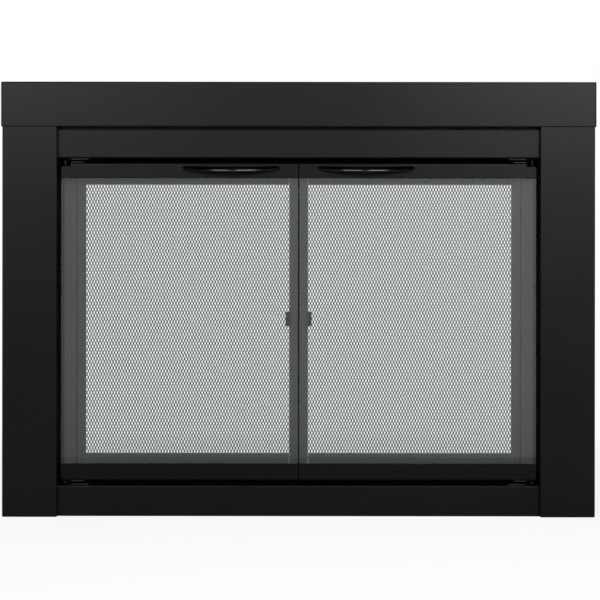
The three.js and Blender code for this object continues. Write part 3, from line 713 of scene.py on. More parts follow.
@recipe("hinge_oxide_steel")
def hinge_steel(r):
    """Black-oxide steel, darker and duller towards the pivots as painted shade."""
    s = settings().hardware
    # Painted shade over the hinge parts nearest the pivots.
    reach = r.off_centre() + r.noise(400, 2.0, 0.5) * (2 * MM)
    hinge_shade = r.ramp(reach, s.overspray, s.overspray + 1.5 * MM)
    brushed = brushed_grain(r)
    tone = r.mix(hinge_shade, s.oxide, (0.002, 0.002, 0.002))
    r.surface(tone, 0.40 + brushed * 0.16 + hinge_shade * 0.3, 0.02, brushed, 0.04 * MM, Metallic=0.75)


@recipe("zinc_plate")
def zinc_plate(r):
    """Zinc-plated steel: crystal patches of tone under fine rolling lines."""
    base = settings().hardware.zinc
    crystal = r.value("TexVoronoi", "Color", {"feature": "F1"}, Vector=r.place(), Scale=230.0)
    patch = r.value("SeparateColor", Color=crystal)
    lines = r.noise(600, 2.0, 0.6, r.stretched((1.0, 0.05, 1.0)))
    bloom = r.ramp(r.noise(25, 4.0, 0.6), 0.45, 0.75)
    tone = r.mix(patch, scaled(base, 0.80), scaled(base, 1.16))
    tone = r.mix(bloom * 0.35, tone, (0.52, 0.53, 0.52))
    r.surface(tone, 0.27 + patch * 0.10 + bloom * 0.16 + lines * 0.06, 0.5,
              lines * 0.7 + patch * 0.3, 0.04 * MM, Metallic=0.9 - bloom * 0.25)


@recipe("gasket_tape")
def gasket_tape(r):
    """Knitted glass-fibre tape: crossing ribs that break up the surface."""
    warp, weft = (r.value("TexWave", "Fac", {"wave_type": "BANDS", "bands_direction": way},
                          Vector=r.place(), Scale=260.0, Distortion=1.5, Detail=2.0)
                  for way in "XZ")
    knit = warp * weft
    fuzz = r.noise(2500, 3.0, 0.7)
    tone = r.mix(knit, (0.010, 0.010, 0.010), (0.045, 0.044, 0.042))
    r.surface(tone, 0.85 + fuzz * 0.12, 0.15, knit * 0.8 + fuzz * 0.2, 0.3 * MM)


@recipe("magnet_ferrite")
def magnet_ferrite(r):
    """Bonded ferrite strip: dull grey-black with a fine mould grain."""
    grain = r.noise(1900, 4.0, 0.7)
    tone = r.mix(grain, (0.012, 0.012, 0.012), (0.026, 0.025, 0.025))
    r.surface(tone, 0.62 + grain * 0.2, 0.06, grain, 0.12 * MM)


@recipe("clear_tempered_glass")
def door_glass(r):
    """Clear tempered glass: a see-through tint under a mirror gloss that grows at grazing
    angles, counted once per pane on the faces that look outwards."""
    s = settings().doors
    clear = r.node("BsdfTransparent", Color=s.glass_tint)
    streak = r.noise(3.0, 3.0, 0.6, r.stretched((1.0, 1.0, 0.25)))
    gloss = r.node("BsdfGlossy", {"distribution": "GGX"}, Color=(1.0, 1.0, 1.0),
                   Roughness=0.003 + streak * 0.006)
    mirror = r.value("Fresnel", IOR=s.mirror_index)
    outside = 1.0 - r.value("NewGeometry", "Backfacing")
    r.finish(r.node("MixShader", i0=mirror * outside, i1=r.out(clear), i2=r.out(gloss)))


@recipe("ground_glass_edge")
def glass_edge(r):
    """Ground glass edge: the green of the glass seen end on."""
    tint = settings().doors.edge_tint
    ground = r.noise(800, 2.0, 0.6, r.stretched((1.0, 1.0, 0.08)))
    tone = r.mix(ground, scaled(tint, 0.75), scaled(tint, 1.3))
    r.surface(tone, 0.16 + ground * 0.2, 0.12, ground, 0.03 * MM, Alpha=0.82)


# ---- Pieces ------------------------------------------------------------------------------

def corners_of(node):
    """Lowest and highest corner of a node, as arrays."""
    low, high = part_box(node)
    return np.array(low), np.array(high)


def edges_of(node, side):
    """Inner and outer x of a node on the left (-1) or on the right (1)."""
    low, high = corners_of(node)
    return (low[0], high[0]) if side > 0 else (high[0], low[0])


def centre_of(node):
    """Centre of a node's box."""
    low, high = corners_of(node)
    return (low + high) / 2


class FIREPLACE_OT_panels(Operator):
    """Folds the header and the two stiles from sheet steel, with rolled edges and rear lips"""
    bl_idname = "fireplace.panels"
    bl_label = "Header and stiles"

    def execute(self, context):
        s = settings().surround
        for node in ("header_panel", "left_stile_panel", "right_stile_panel"):
            low, high = corners_of(node)
            profile = tray_profile(low[1], high[1], s.sheet, s.edge_roll, s.rear_lip)
            top = high[2] + (0 if node == "header_panel" else s.stile_top)
            rings = rounded_rings(low[0], high[0], low[2], top, profile, s.plan_corner)
            if node == "header_panel":
                rings = tighten(rings, 2, low[2], 1, s.edge_roll, s.tight_share)
            else:
                rings = tighten(rings, 2, top, -1, s.edge_roll, s.stile_share)
                inner = (high[0], -1) if high[0] < 0 else (low[0], 1)
                rings = tighten(rings, 0, *inner, s.edge_roll, s.tight_share)
            put(node.replace("_panel", "_folded_panel"), Form().loft(rings), "surround",
                [surround_coat()], [node])
        return {"FINISHED"}


class FIREPLACE_OT_rails(Operator):
    """Folds the inner top rail, the bottom rail and the two jambs"""
    bl_idname = "fireplace.rails"
    bl_label = "Inner rails and jambs"

    def execute(self, context):
        s = settings().surround
        half = s.sheet / 2
        for node, out in (("inner_top_rail", 1), ("bottom_rail", -1)):
            low, high = corners_of(node)
            lip = low[2] if out > 0 else high[2]
            flange = high[2] - s.upturn if out > 0 else low[2]
            ledge = (corners_of("upper_left_frame_plate")[1][2] + SEAT if out > 0 else
                     corners_of("lower_left_frame_plate")[0][2] - SEAT)
            rebate = corners_of("left_jamb")[0][1]
            rear = ([[high[1] - half, high[2]], [high[1] - half, flange - half]] if out > 0 else
                    [[high[1], flange + half]])
            outline = folded_outline(rear + [
                [low[1] + half, flange - out * half],
                [low[1] + half, ledge + out * half],
                [rebate + half, ledge + out * half],
                [rebate + half, lip],
            ], s.sheet, s.bend)
            middle = (outline + np.roll(outline, -1, axis=0)) / 2
            # The recessed part of the rail's section gets the dull black as painted shade.
            shaded_recess = (middle[:, 0] > rebate - s.bend) & (out * (ledge - middle[:, 1]) > -s.sheet)
            form = Form().loft(along_x(outline, low[0] - s.rail_end, high[0] + s.rail_end),
                               [0, shaded_recess.astype(int), 0])
            put(node.replace("_rail", "_folded_rail"), form, "surround",
                [surround_coat(), recess_shade_black()], [node])
        for hand, side in HANDS:
            low, high = corners_of(f"{hand}_jamb")
            inner, outer = edges_of(f"{hand}_jamb", side)
            web = inner + side * (s.stop_cover + half)
            stop = high[1] - s.stop_inset - half
            outline = folded_outline([
                [inner, stop], [web, stop], [web, low[1] + half],
                [outer - side * half, low[1] + half], [outer - side * half, high[1]],
            ], s.sheet, s.bend)
            form = Form().loft(along_z(outline, low[2] - s.jamb_end, high[2] + s.jamb_end))
            put(f"{hand}_folded_jamb", form, "surround",
                [inner_satin()], [f"{hand}_jamb"])
        return {"FINISHED"}


class FIREPLACE_OT_seals(Operator):
    """Lays the black edge strips that close the gap between the two mesh doors"""
    bl_idname = "fireplace.seals"
    bl_label = "Mesh door edge strips"

    def execute(self, context):
        reach, inset = settings().doors.strip_reach, 0.6 * MM
        for hand, side in HANDS:
            node = f"{hand}_mesh_meeting_stile"
            low, high = corners_of(node)
            x0, x1 = sorted((edges_of(node, side)[0], 0.0))
            profile = [[0, low[1] + inset], [0, high[1] - inset]]
            form = Form().loft(rounded_rings(x0, x1, low[2] - reach, high[2] + reach, profile,
                                             0.1 * MM))
            put(f"{hand}_meeting_strip", form, f"{hand}_mesh_door",
                [hearth_black()])
        return {"FINISHED"}


def notched_channel(low, high, sheet, bend, closed, notch_x, notch_z):
    """Points and faces of a door rail: a U section carried along x, notched at its hinge end.

    The section's outline is cut at the notch's height. Up to the notch every outline point is
    carried; beyond it only the two walls go on, so the end has the crown's closing face at the
    notch and one closing face on each wall at the rail's end.
    """
    mouth = low[2] if closed > 0 else high[2]
    crown = (high[2] if closed > 0 else low[2]) - closed * sheet / 2
    outline = folded_outline([
        [low[1] + sheet / 2, mouth], [low[1] + sheet / 2, crown],
        [high[1] - sheet / 2, crown], [high[1] - sheet / 2, mouth],
    ], sheet, bend)
    half = len(outline) // 2
    # Outer and inner strand, each from the front mouth to the back mouth.
    strands = [outline[:half], outline[half:][::-1]]
    cut = [np.concatenate([
        strand[:1], [[strand[0, 0], notch_z]], strand[1:-1],
        [[strand[-1, 0], notch_z]], strand[-1:],
    ]) for strand in strands]
    ring = np.concatenate([cut[0], cut[1][::-1]])
    count, n = len(ring), len(cut[0])
    free, hinge = (high[0], low[0]) if notch_x < 0 else (low[0], high[0])
    walls = np.array([0, 1, n - 2, n - 1, n, n + 1, count - 2, count - 1])
    points = np.concatenate([
        np.column_stack([np.full(count, free), ring]),
        np.column_stack([np.full(count, notch_x), ring]),
        np.column_stack([np.full(8, hinge), ring[walls]]),
    ])
    far = dict(zip(walls.tolist(), range(2 * count, 2 * count + 8)))

    def wall_faces(a, b, c, d):
        """Side faces and end of one wall whose section is the loop a, b, c, d; the face from b
        to c is the notch's floor."""
        loop = [a, b, c, d]
        sides = [[count + i, count + j, far[j], far[i]] for i, j in zip(loop, loop[1:] + loop[:1])]
        return sides + [[far[i] for i in loop][::-1]]

    front = wall_faces(0, 1, count - 2, count - 1)
    back = [face[::-1] for face in wall_faces(n - 1, n - 2, n + 1, n)]
    body = grid_quads(2, count, wrap_columns=True)
    start = np.arange(count)[None, ::-1]
    crown_loop = np.concatenate([np.arange(1, n - 1), np.arange(n + 1, count - 1)])[None] + count
    return points, [body, start, crown_loop, np.array(front + back)]


class FIREPLACE_OT_stops(Operator):
    """Bends the two clips behind the lips that the mesh doors close against in the middle"""
    bl_idname = "fireplace.stops"
    bl_label = "Mesh door stops"

    def execute(self, context):
        s = settings().hardware
        half = s.clip / 2
        seat = corners_of("left_jamb")[0][1] + settings().surround.sheet + half
        stop = corners_of("left_mesh_meeting_stile")[1][1] + s.clip_clear + half
        for level, up in LEVELS:
            lip = corners_of("inner_top_rail")[0][2] if up > 0 else corners_of("bottom_rail")[1][2]
            shelf = lip + up * (half + 1.0 * MM)
            outline = folded_outline([
                [seat, lip + up * s.clip_seat], [seat, shelf],
                [stop, shelf], [stop, lip - up * s.clip_drop],
            ], s.clip, 0.5 * MM)
            form = Form().loft(along_x(outline, -s.clip_width / 2, s.clip_width / 2))
            for x in (-1, 1):
                add_pan_head(form, (x * s.clip_width * 0.26, seat + half,
                                    lip + up * s.clip_seat * 0.62), BACKWARDS, RIVET)
            # The stops are dull black as painted shade behind the lips.
            put(f"{level}_mesh_stop", form, "surround",
                [recess_shade_black()], rounded=0.15 * MM)
        return {"FINISHED"}


class FIREPLACE_OT_door_rails(Operator):
    """Folds the rails that hold the glass, the upper ones notched round the hinge pins"""
    bl_idname = "fireplace.door_rails"
    bl_label = "Door rails"

    def execute(self, context):
        s = settings()
        half = s.surround.sheet / 2
        for hand, side in HANDS:
            node = f"{hand}_door_top_rail"
            low, high = corners_of(node)
            hinge = edges_of(node, side)[1]
            form = Form().add(*notched_channel(low, high, s.surround.sheet, s.surround.bend, 1,
                                               hinge - side * s.doors.notch_width,
                                               high[2] - s.doors.notch_height))
            put(f"{hand}_top_channel", form, f"{hand}_glass_door",
                [rail_coat()], [node], rounded=0.22 * MM)
        for hand, side in HANDS:
            node = f"{hand}_door_bottom_rail"
            low, high = corners_of(node)
            outline = folded_outline([
                [low[1] + half, high[2]], [low[1] + half, low[2] + half],
                [high[1] - half, low[2] + half], [high[1] - half, high[2]],
            ], s.surround.sheet, s.surround.bend)
            form = Form().loft(along_x(outline, low[0], high[0]))
            put(f"{hand}_bottom_channel", form, f"{hand}_glass_door",
                [rail_coat()], [node], rounded=0.22 * MM)
        return {"FINISHED"}


def plan_strip(inner, pivot, middle, width, corner, steps=16):
    """Outline in (x, y) of a flat strap: rounded corners at its inner end, a half circle round
    the pivot."""
    side = math.copysign(1.0, pivot - inner)
    half = width / 2
    t = np.linspace(-math.pi / 2, math.pi / 2, steps + 1)
    nose = np.stack([pivot + side * half * np.cos(t), middle + half * np.sin(t)], axis=-1)
    q = np.linspace(0, math.pi / 2, 6)
    up = np.stack([inner + side * corner * (1 - np.sin(q)),
                   middle + half - corner * (1 - np.cos(q))], axis=-1)
    return np.concatenate([nose, up, (up * [1, -1] + [0, 2 * middle])[::-1]])


def add_pan_head(form, centre, axis, size=1.0):
    """A pan-head screw standing on a face: domed rim, flat top and a six-sided recess."""
    radius = settings().hardware.head_radius * size
    height = settings().hardware.head_height * size
    recess, sunk = radius * 0.42, -0.5 * MM
    profile = [
        [0, sunk], [radius * 0.55, sunk], [radius * 0.96, -0.02 * MM],
        [radius, height * 0.25], [radius * 0.97, height * 0.55], [radius * 0.88, height * 0.82],
        [radius * 0.72, height * 0.96], [radius * 0.55, height],
        [recess + 0.12 * MM, height], [recess, height * 0.95],
        [recess * 0.94, height * 0.35], [recess * 0.6, height * 0.25], [0, height * 0.2],
    ]

    def hexagon(t, r, h):
        """Inside the recess the radius follows a rounded hexagon."""
        inside = (r <= recess + 0.001 * MM) & (h > 0)
        return np.where(inside, r * 0.10 * np.cos(6 * t), 0.0)

    form.spun(profile, centre, axis, 36, hexagon)


class FIREPLACE_OT_hinges(Operator):
    """Cuts the hinge plates and leaves and turns the hinge pins"""
    bl_idname = "fireplace.hinges"
    bl_label = "Pivot hinges"

    def execute(self, context):
        for hand, side in HANDS:
            for level, up in LEVELS:
                pivot = centre_of(f"{level}_{hand}_hinge_pin")
                flat = [f"{level}_{hand}_frame_plate"]
                if up < 0:
                    flat.append(f"{level}_{hand}_door_leaf")
                for node in flat:
                    low, high = corners_of(node)
                    body = "surround" if "plate" in node else f"{hand}_glass_door"
                    plan = plan_strip(edges_of(node, side)[0], *pivot[:2], high[1] - low[1],
                                      1.2 * MM)
                    form = Form().loft(along_z(plan, low[2], high[2]))
                    put(node.replace("_frame", "_hinge").replace("_door", "_hinge"), form, body,
                        [hinge_steel()], [node], rounded=0.25 * MM)
            self.upper_leaf(hand, side)
            self.pins(hand)
        return {"FINISHED"}

    def upper_leaf(self, hand, side):
        """A strap that lies on the door rail and steps down into the notch under the ball."""
        s = settings().hardware
        node = f"upper_{hand}_door_leaf"
        low, high = corners_of(node)
        half = s.leaf / 2
        inner, outer = edges_of(node, side)
        rail_end = edges_of(f"{hand}_door_top_rail", side)[1]
        riser = rail_end - side * settings().doors.notch_width + side * (SEAT + half)
        outline = folded_outline([
            [inner, high[2] - half], [riser, high[2] - half],
            [riser, low[2] + half], [outer, low[2] + half],
        ], s.leaf, 0.4 * MM)
        form = Form().loft(along_y(outline, low[1], high[1]))
        put(f"upper_{hand}_hinge_leaf", form, f"{hand}_glass_door",
            [hinge_steel()], [node], rounded=0.25 * MM)

    def pins(self, hand):
        """The upper pin has a ball, the lower one a collar; both have chamfered ends."""
        s = settings().hardware
        r, c = s.pin_radius, 0.5 * MM
        for level, up in LEVELS:
            node = f"{level}_{hand}_hinge_pin"
            low, high = corners_of(node)
            centre = centre_of(node) * [1, 1, 0]
            if up > 0:
                ball = (high[0] - low[0]) / 2
                leaf_top = low[2] - SEAT + s.leaf
                plate_bottom = corners_of(f"upper_{hand}_frame_plate")[0][2]
                middle = (leaf_top + plate_bottom) / 2
                reach = math.acos(r / ball)
                t = np.linspace(-reach, reach, 17)
                waist = np.stack([ball * np.cos(t), middle + ball * np.sin(t)], axis=-1)
            else:
                collar = (high[0] - low[0]) / 2
                z0 = corners_of(f"lower_{hand}_frame_plate")[1][2] + SEAT
                z1 = corners_of(f"lower_{hand}_door_leaf")[0][2] - SEAT
                cut = 0.3 * MM
                waist = [[r, z0], [collar - cut, z0], [collar, z0 + cut],
                         [collar, z1 - cut], [collar - cut, z1], [r, z1]]
            profile = np.concatenate([
                [[0, low[2]], [r - c, low[2]], [r, low[2] + c]], waist,
                [[r, high[2] - c], [r - c, high[2]], [0, high[2]]],
            ])
            form = Form().spun(profile, centre, UPWARDS, 48)
            put(f"{level}_{hand}_pin", form, "surround", [oxide_steel()], [node])


class FIREPLACE_OT_tabs(Operator):
    """Bends the two pull tabs of the mesh doors, with rounded corners"""
    bl_idname = "fireplace.tabs"
    bl_label = "Pull tabs"

    def execute(self, context):
        s = settings().hardware
        for hand, side in HANDS:
            node = f"{hand}_mesh_pull_tab"
            low, high = corners_of(node)
            inner, outer = edges_of(node, side)
            half = s.tab / 2
            seat = high[1] - half
            turn = inner + side * s.tab_flat
            outline = folded_outline([
                [inner, seat], [turn, seat], [outer - side * half * 0.7, low[1] + half * 0.7],
            ], s.tab, 1.0 * MM)
            reach = np.abs(outline[:, 0] - inner)
            # The tab's height is drawn in by a quarter circle over its last few millimetres.
            corner = s.tab_corner
            past = np.clip(reach - (reach.max() - corner), 0, corner)
            drawn = corner - np.sqrt(np.maximum(corner ** 2 - past ** 2, 0))
            top = np.column_stack([outline, high[2] - drawn])
            bottom = np.column_stack([outline, low[2] + drawn])
            form = Form().loft(np.stack([bottom, top]))
            put(f"{hand}_tab", form, f"{hand}_mesh_door",
                [oxide_steel()], [node], rounded=0.2 * MM)
        return {"FINISHED"}


class FIREPLACE_OT_clamps(Operator):
    """Bends the lintel straps with their nuts, and turns the threaded clamp screws"""
    bl_idname = "fireplace.clamps"
    bl_label = "Lintel clamps"

    def execute(self, context):
        for hand, _ in HANDS:
            self.strap(hand, settings().hardware)
            self.screw(hand, settings().hardware)
        return {"FINISHED"}

    def strap(self, hand, s):
        """A strap folded up at its rear end, with the six-sided nut behind the upturn."""
        node = f"{hand}_lintel_strap"
        low, high = corners_of(node)
        half = s.strap / 2
        end = high[1] - s.nut_height
        outline = folded_outline([
            [low[1], low[2] + half], [end - half, low[2] + half], [end - half, high[2]],
        ], s.strap, s.strap)
        form = Form().loft(along_x(outline, low[0], high[0]))
        x, z = centre_of(node)[0], centre_of(f"{hand}_clamp_screw")[2]
        radius = s.nut_flats / math.sqrt(3)
        t = np.arange(6) * math.pi / 3 + math.pi / 6
        six = np.stack([np.cos(t), np.sin(t)], axis=-1)
        rings = [[radius * 0.90, end - 0.2 * MM], [radius, end + 0.6 * MM],
                 [radius, high[1] - 0.8 * MM], [radius * 0.90, high[1]]]
        nut = np.stack([along_y(six * r + [x, z], y, y)[0] for r, y in rings])
        form.loft(nut)
        put(f"{hand}_strap", form, "surround", [zinc_plate()], [node],
            rounded=0.35 * MM)

    def screw(self, hand, s):
        """A clamp screw: the pad, the thread with its lead at both ends, and the knob."""
        node = f"{hand}_clamp_screw"
        low, high = corners_of(node)
        centre = np.where([0, 1, 0], low, centre_of(node))
        length = high[1] - low[1]
        pad, knob = (high[0] - low[0]) / 2, s.knob_radius
        r, lead = s.screw_radius, 0.8 * MM
        knob_from = length - s.knob_height
        thick = s.pad_height
        form = Form().spun([
            [0, 0], [pad - 1.6 * MM, 0], [pad - 0.5 * MM, 0.25 * MM], [pad, 0.9 * MM],
            [pad, thick - 0.7 * MM], [pad - 0.6 * MM, thick - 0.1 * MM],
            [r + 2 * MM, thick], [r + 1.2 * MM, thick + 0.6 * MM],
            [r - 0.8 * MM, thick + 0.8 * MM], [0, thick + 0.8 * MM],
        ], centre, BACKWARDS, 72)
        rows = int((knob_from - s.pad_height) / s.thread_pitch * 10)
        at = np.linspace(s.pad_height - 0.5 * MM, knob_from + 0.5 * MM, rows)
        shaft = np.column_stack([np.full(rows, r), at])
        depth = s.thread_pitch * 0.32

        def thread(t, radius, height):
            """A triangle wave along the helix, cut inwards, fading out at both ends."""
            turn = np.mod(height / s.thread_pitch - t / (2 * math.pi), 1.0)
            fade = (np.clip((height - s.pad_height) / lead, 0, 1)
                    * np.clip((knob_from - height) / lead, 0, 1))
            return -depth * (1 - np.abs(2 * turn - 1)) * fade

        form.spun(np.concatenate([[[0, at[0]]], shaft, [[0, at[-1]]]]), centre, BACKWARDS, 40,
                  thread)
        rim = np.linspace(knob_from + 1.0 * MM, length - 1.0 * MM, 9)
        knob_profile = np.concatenate([
            [[0, knob_from], [knob - 1.4 * MM, knob_from], [knob - 0.7 * MM, knob_from + 0.3 * MM]],
            np.column_stack([np.full(9, knob), rim]),
            [[knob - 0.7 * MM, length - 0.3 * MM], [knob - 1.4 * MM, length],
             [knob * 0.62, length], [knob * 0.56, length - 0.5 * MM], [0, length - 0.7 * MM]],
        ])

        def knurl(t, radius, height):
            """Rounded grooves along the rim, fading at its edges."""
            from_end = np.minimum(height - knob_from, length - height) - 0.6 * MM
            fade = np.clip(from_end / (0.8 * MM), 0, 1)
            groove = np.clip(np.cos(s.knurls * t) * 0.9 + 0.1, -0.6, 1)
            return np.where(radius > knob - 0.1 * MM, (groove - 1) * 0.38 * MM * fade, 0.0)

        form.spun(knob_profile, centre, BACKWARDS, s.knurls * 8, knurl)
        put(f"{hand}_threaded_screw", form, f"{hand}_clamp", [zinc_plate()], [node],
            crease=28)


class FIREPLACE_OT_screws(Operator):
    """Drives the small screws of the brackets, the handles and the mesh pivots"""
    bl_idname = "fireplace.screws"
    bl_label = "Small screws"

    def execute(self, context):
        s = settings().hardware
        fixed, pivots = Form(), Form()
        for hand, side in HANDS:
            for level, _ in LEVELS:
                node = f"{level}_{hand}_corner_bracket"
                low, high = corners_of(node)
                leg, wall = edges_of(node, side)
                for share_of in (0.22, 0.78):
                    z = low[2] + (high[2] - low[2]) * share_of
                    add_pan_head(fixed, (leg + side * s.screw_off, low[1] + s.bracket, z),
                                 BACKWARDS)
                    add_pan_head(fixed, (wall - side * s.bracket, high[1] - 7 * MM, z),
                                 (-side, 0, 0))
            node = f"{hand}_hearth_bracket"
            low, high = corners_of(node)
            self.pair(fixed, node, s.screw_off, low[1] + s.bracket, high[2] - 9 * MM)
            node = f"{hand}_lintel_strap"
            low, high = corners_of(node)
            self.pair(fixed, node, 6 * MM, low[1] + 12 * MM, low[2] + s.strap, UPWARDS)
        put("bracket_screws", fixed, "surround", [zinc_plate()])
        for hand, _ in HANDS:
            for level, up in LEVELS:
                node = f"{level}_{hand}_mesh_bracket"
                low, high = corners_of(node)
                off = 5 * MM
                self.pair(pivots, node, off, low[1] + s.pivot_plate,
                          high[2] - off if up > 0 else low[2] + off, size=RIVET)
        put("mesh_bracket_rivets", pivots, "surround", [oxide_steel()])
        for hand, _ in HANDS:
            form = Form()
            node = f"{hand}_bow_handle"
            self.pair(form, node, s.handle_screws / 2, corners_of(f"{hand}_door_top_rail")[1][1],
                      corners_of(node)[1][2] - 3 * MM)
            put(f"{hand}_handle_screws", form, f"{hand}_glass_door", [zinc_plate()])
        return {"FINISHED"}

    def pair(self, form, node, off, y, z, axis=BACKWARDS, size=1.0):
        """Two screws as far to the left and right of a node's middle as off says."""
        for across in (-1, 1):
            add_pan_head(form, (centre_of(node)[0] + across * off, y, z), axis, size)


class FIREPLACE_OT_glass(Operator):
    """Cuts the two panes, with ground and rounded edges"""
    bl_idname = "fireplace.glass"
    bl_label = "Glass panes"

    def execute(self, context):
        s = settings().doors
        r = s.glass_bevel
        flat = r + GUARD
        for hand, side in HANDS:
            node = f"{hand}_glass_pane"
            low, high = corners_of(node)
            profile = np.concatenate([
                [[flat, low[1]]],
                quarter_arc((r, low[1] + r), r, math.pi)[::-1],
                quarter_arc((r, high[1] - r), r, math.pi / 2)[::-1],
                [[flat, high[1]]],
            ])
            inner, outer = edges_of(node, side)
            x0, x1 = sorted((inner - side * s.pane_meet, outer + side * s.pane_reach))
            form = Form().loft(rounded_rings(x0, x1, low[2], high[2], profile, 1.5 * MM),
                               [0, 1, 0])
            put(f"{hand}_pane", form, f"{hand}_glass_door",
                [door_glass(), glass_edge()], [node], crease=25)
        return {"FINISHED"}


class FIREPLACE_OT_handles(Operator):
    """Sweeps the two bow handles"""
    bl_idname = "fireplace.handles"
    bl_label = "Bow handles"

    def execute(self, context):
        s = settings().handles
        stations, sides = 120, 48
        at = -np.cos(np.linspace(0, math.pi, stations + 1))[:, None]
        t = np.linspace(0, 2 * math.pi, sides, endpoint=False)[None]
        arch = 1 - at * at
        swell = (0.92 + 0.08 * arch) * np.sqrt(np.maximum(1 - np.abs(at) ** 16, 0))
        for hand, side in HANDS:
            low, high = corners_of(f"{hand}_door_top_rail")
            seat = low[1] - SEAT
            x = side * s.centre + s.reach / 2 * at + 0 * t
            y = seat - s.foot_sink - s.bow * arch ** s.foot_ease - swell * s.depth / 2 * np.cos(t)
            z = high[2] - s.rise - s.droop * arch + swell * s.height / 2 * np.sin(t)
            y = y + s.lean * swell * s.height / 2 * np.sin(t)
            rings = np.stack([x, np.minimum(y, seat), z], axis=-1)
            put(f"{hand}_bow", Form().loft(rings[1:-1]), f"{hand}_glass_door",
                [handle_enamel()], [f"{hand}_bow_handle"], crease=50)
        return {"FINISHED"}


class FIREPLACE_OT_nets(Operator):
    """Expands the steel nets of the mesh doors"""
    bl_idname = "fireplace.nets"
    bl_label = "Expanded nets"

    def execute(self, context):
        s = settings().nets
        c, n = math.cos(s.tilt), math.sin(s.tilt)
        wide = np.array([-1, 1, 1, -1]) * s.strand / 2
        thick = np.array([-1, -1, 1, 1]) * s.thickness / 2
        section_x, section_y = wide * c - thick * n, wide * n + thick * c
        for hand, _ in HANDS:
            node = f"{hand}_mesh_net"
            low, high = corners_of(node)
            columns = round((high[0] - low[0]) / s.diamond_width)
            rows = round((high[2] - low[2]) / s.diamond_height)
            step_x, step_z = (high[0] - low[0]) / columns / 2, (high[2] - low[2]) / rows / 2
            line = np.arange(2 * columns)[:, None]
            knot = np.arange(2 * rows + 1)[None]
            # At an even knot the line touches its left neighbour, at an odd one its right.
            right = (line + knot) % 2
            x = low[0] + (line + right) * step_x + (0.5 - right) * s.strand * s.knot
            z = low[2] + knot * step_z + 0 * line
            middle = (low[1] + high[1]) / 2
            points = np.stack([
                x[..., None] + section_x,
                np.broadcast_to(middle + section_y, x.shape + (4,)),
                np.broadcast_to(z[..., None], x.shape + (4,)),
            ], axis=-1)
            lines, knots = x.shape
            tube = grid_quads(knots, 4, wrap_columns=True)
            caps = np.stack([np.arange(4)[::-1], np.arange(4) + 4 * (knots - 1)])
            starts = (np.arange(lines) * knots * 4)[:, None, None]
            faces = [(tube + starts).reshape(-1, 4), (caps + starts).reshape(-1, 4)]
            put(f"{hand}_expanded_net", Form().add(points, faces), f"{hand}_mesh_door",
                [net_steel()], [node], crease=20)
        return {"FINISHED"}


class FIREPLACE_OT_carried(Operator):
    """Gives every carried node of the frame its own finish"""
    bl_idname = "fireplace.carried"
    bl_label = "Carried nodes"

    def execute(self, context):
        finishes = (
            ("corner_bracket", zinc_plate), ("lintel_strap", zinc_plate),
            ("hearth_bracket", zinc_plate), ("clamp_screw", zinc_plate),
            ("frame_plate", oxide_steel), ("hinge_pin", oxide_steel), ("door_leaf", oxide_steel),
            ("mesh_bracket", oxide_steel), ("pull_tab", oxide_steel),
            ("gasket", gasket_tape), ("magnet", magnet_ferrite),
            ("door_top_rail", rail_coat), ("door_bottom_rail", rail_coat),
            ("mesh_", inner_satin), ("jamb", inner_satin), ("glass_pane", door_glass),
            ("bow_handle", handle_enamel), ("", surround_coat),
        )
        for node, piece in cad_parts.items():
            finish = next(build for part, build in finishes if part in node)
            piece.data.materials.clear()
            piece.data.materials.append(finish())
        return {"FINISHED"}


# ---- Stage -------------------------------------------------------------------------------

def ray_kinds(r):
    """One for rays from the camera or through glass, and one for glossy rays."""
    path = r.node("LightPath")
    seen = r.out(path, "Is Camera Ray")
    plain = seen.math("MAXIMUM", seen, r.out(path, "Is Transmission Ray"))
    return plain, r.out(path, "Is Glossy Ray")


def studio_world():
    """White for the eye and seen through glass; a plain even light for dull surfaces; and for
    gloss a front wall with two soft boxes either side of the camera under a dark ceiling, and
    plain white behind."""
    s = settings().stage
    world = bpy.data.worlds.new("studio")
    r = Recipe(world)
    axes = r.node("SeparateXYZ", Vector=r.value("TexCoord", "Generated"))
    x, y, z = (r.out(axes, i) for i in range(3))
    across = x.math("ARCTAN2", x, -y)
    rise = z.math("ARCSINE", z)
    deg = math.radians
    wall = r.ramp(rise, deg(-12), deg(-2), 0.34, 0.98) + r.ramp(rise, deg(-4), deg(9), 0.0, 0.30)
    wall = wall * (1.0 - r.ramp(rise, deg(14), deg(34), 0.0, 0.93))
    wall = wall * r.ramp(across, deg(-12), deg(12), 0.86, 1.16)
    wall = wall * (1.0 - r.ramp(across.math("ABSOLUTE", across), deg(25), deg(46), 0.0, 0.90))

    def soft_box(low, high, level):
        """A box of light between two bearings in degrees, fading at its edges."""
        sides = (r.ramp(across, deg(low - 4), deg(low + 4))
                 * (1.0 - r.ramp(across, deg(high - 6), deg(high + 6))))
        ends = r.ramp(rise, deg(7.2), deg(10.2)) * (1.0 - r.ramp(rise, deg(17), deg(24)))
        return sides * ends * level

    front = wall + soft_box(-31, -6, s.left_box) + soft_box(6, 32, s.right_box)
    ahead = r.ramp(y, 0.30, 0.70)
    gloss = front * (1.0 - ahead) + ahead * (1.0 - r.ramp(rise, deg(20), deg(50), 0.0, 0.94))
    plain, glossy = ray_kinds(r)
    level = s.fill * (1.0 - plain) * (1.0 - glossy) + glossy * (1.0 - plain) * gloss + plain
    r.finish(r.node("Background", Color=(1.0, 1.0, 1.0), Strength=level), "OutputWorld")
    bpy.context.scene.world = world


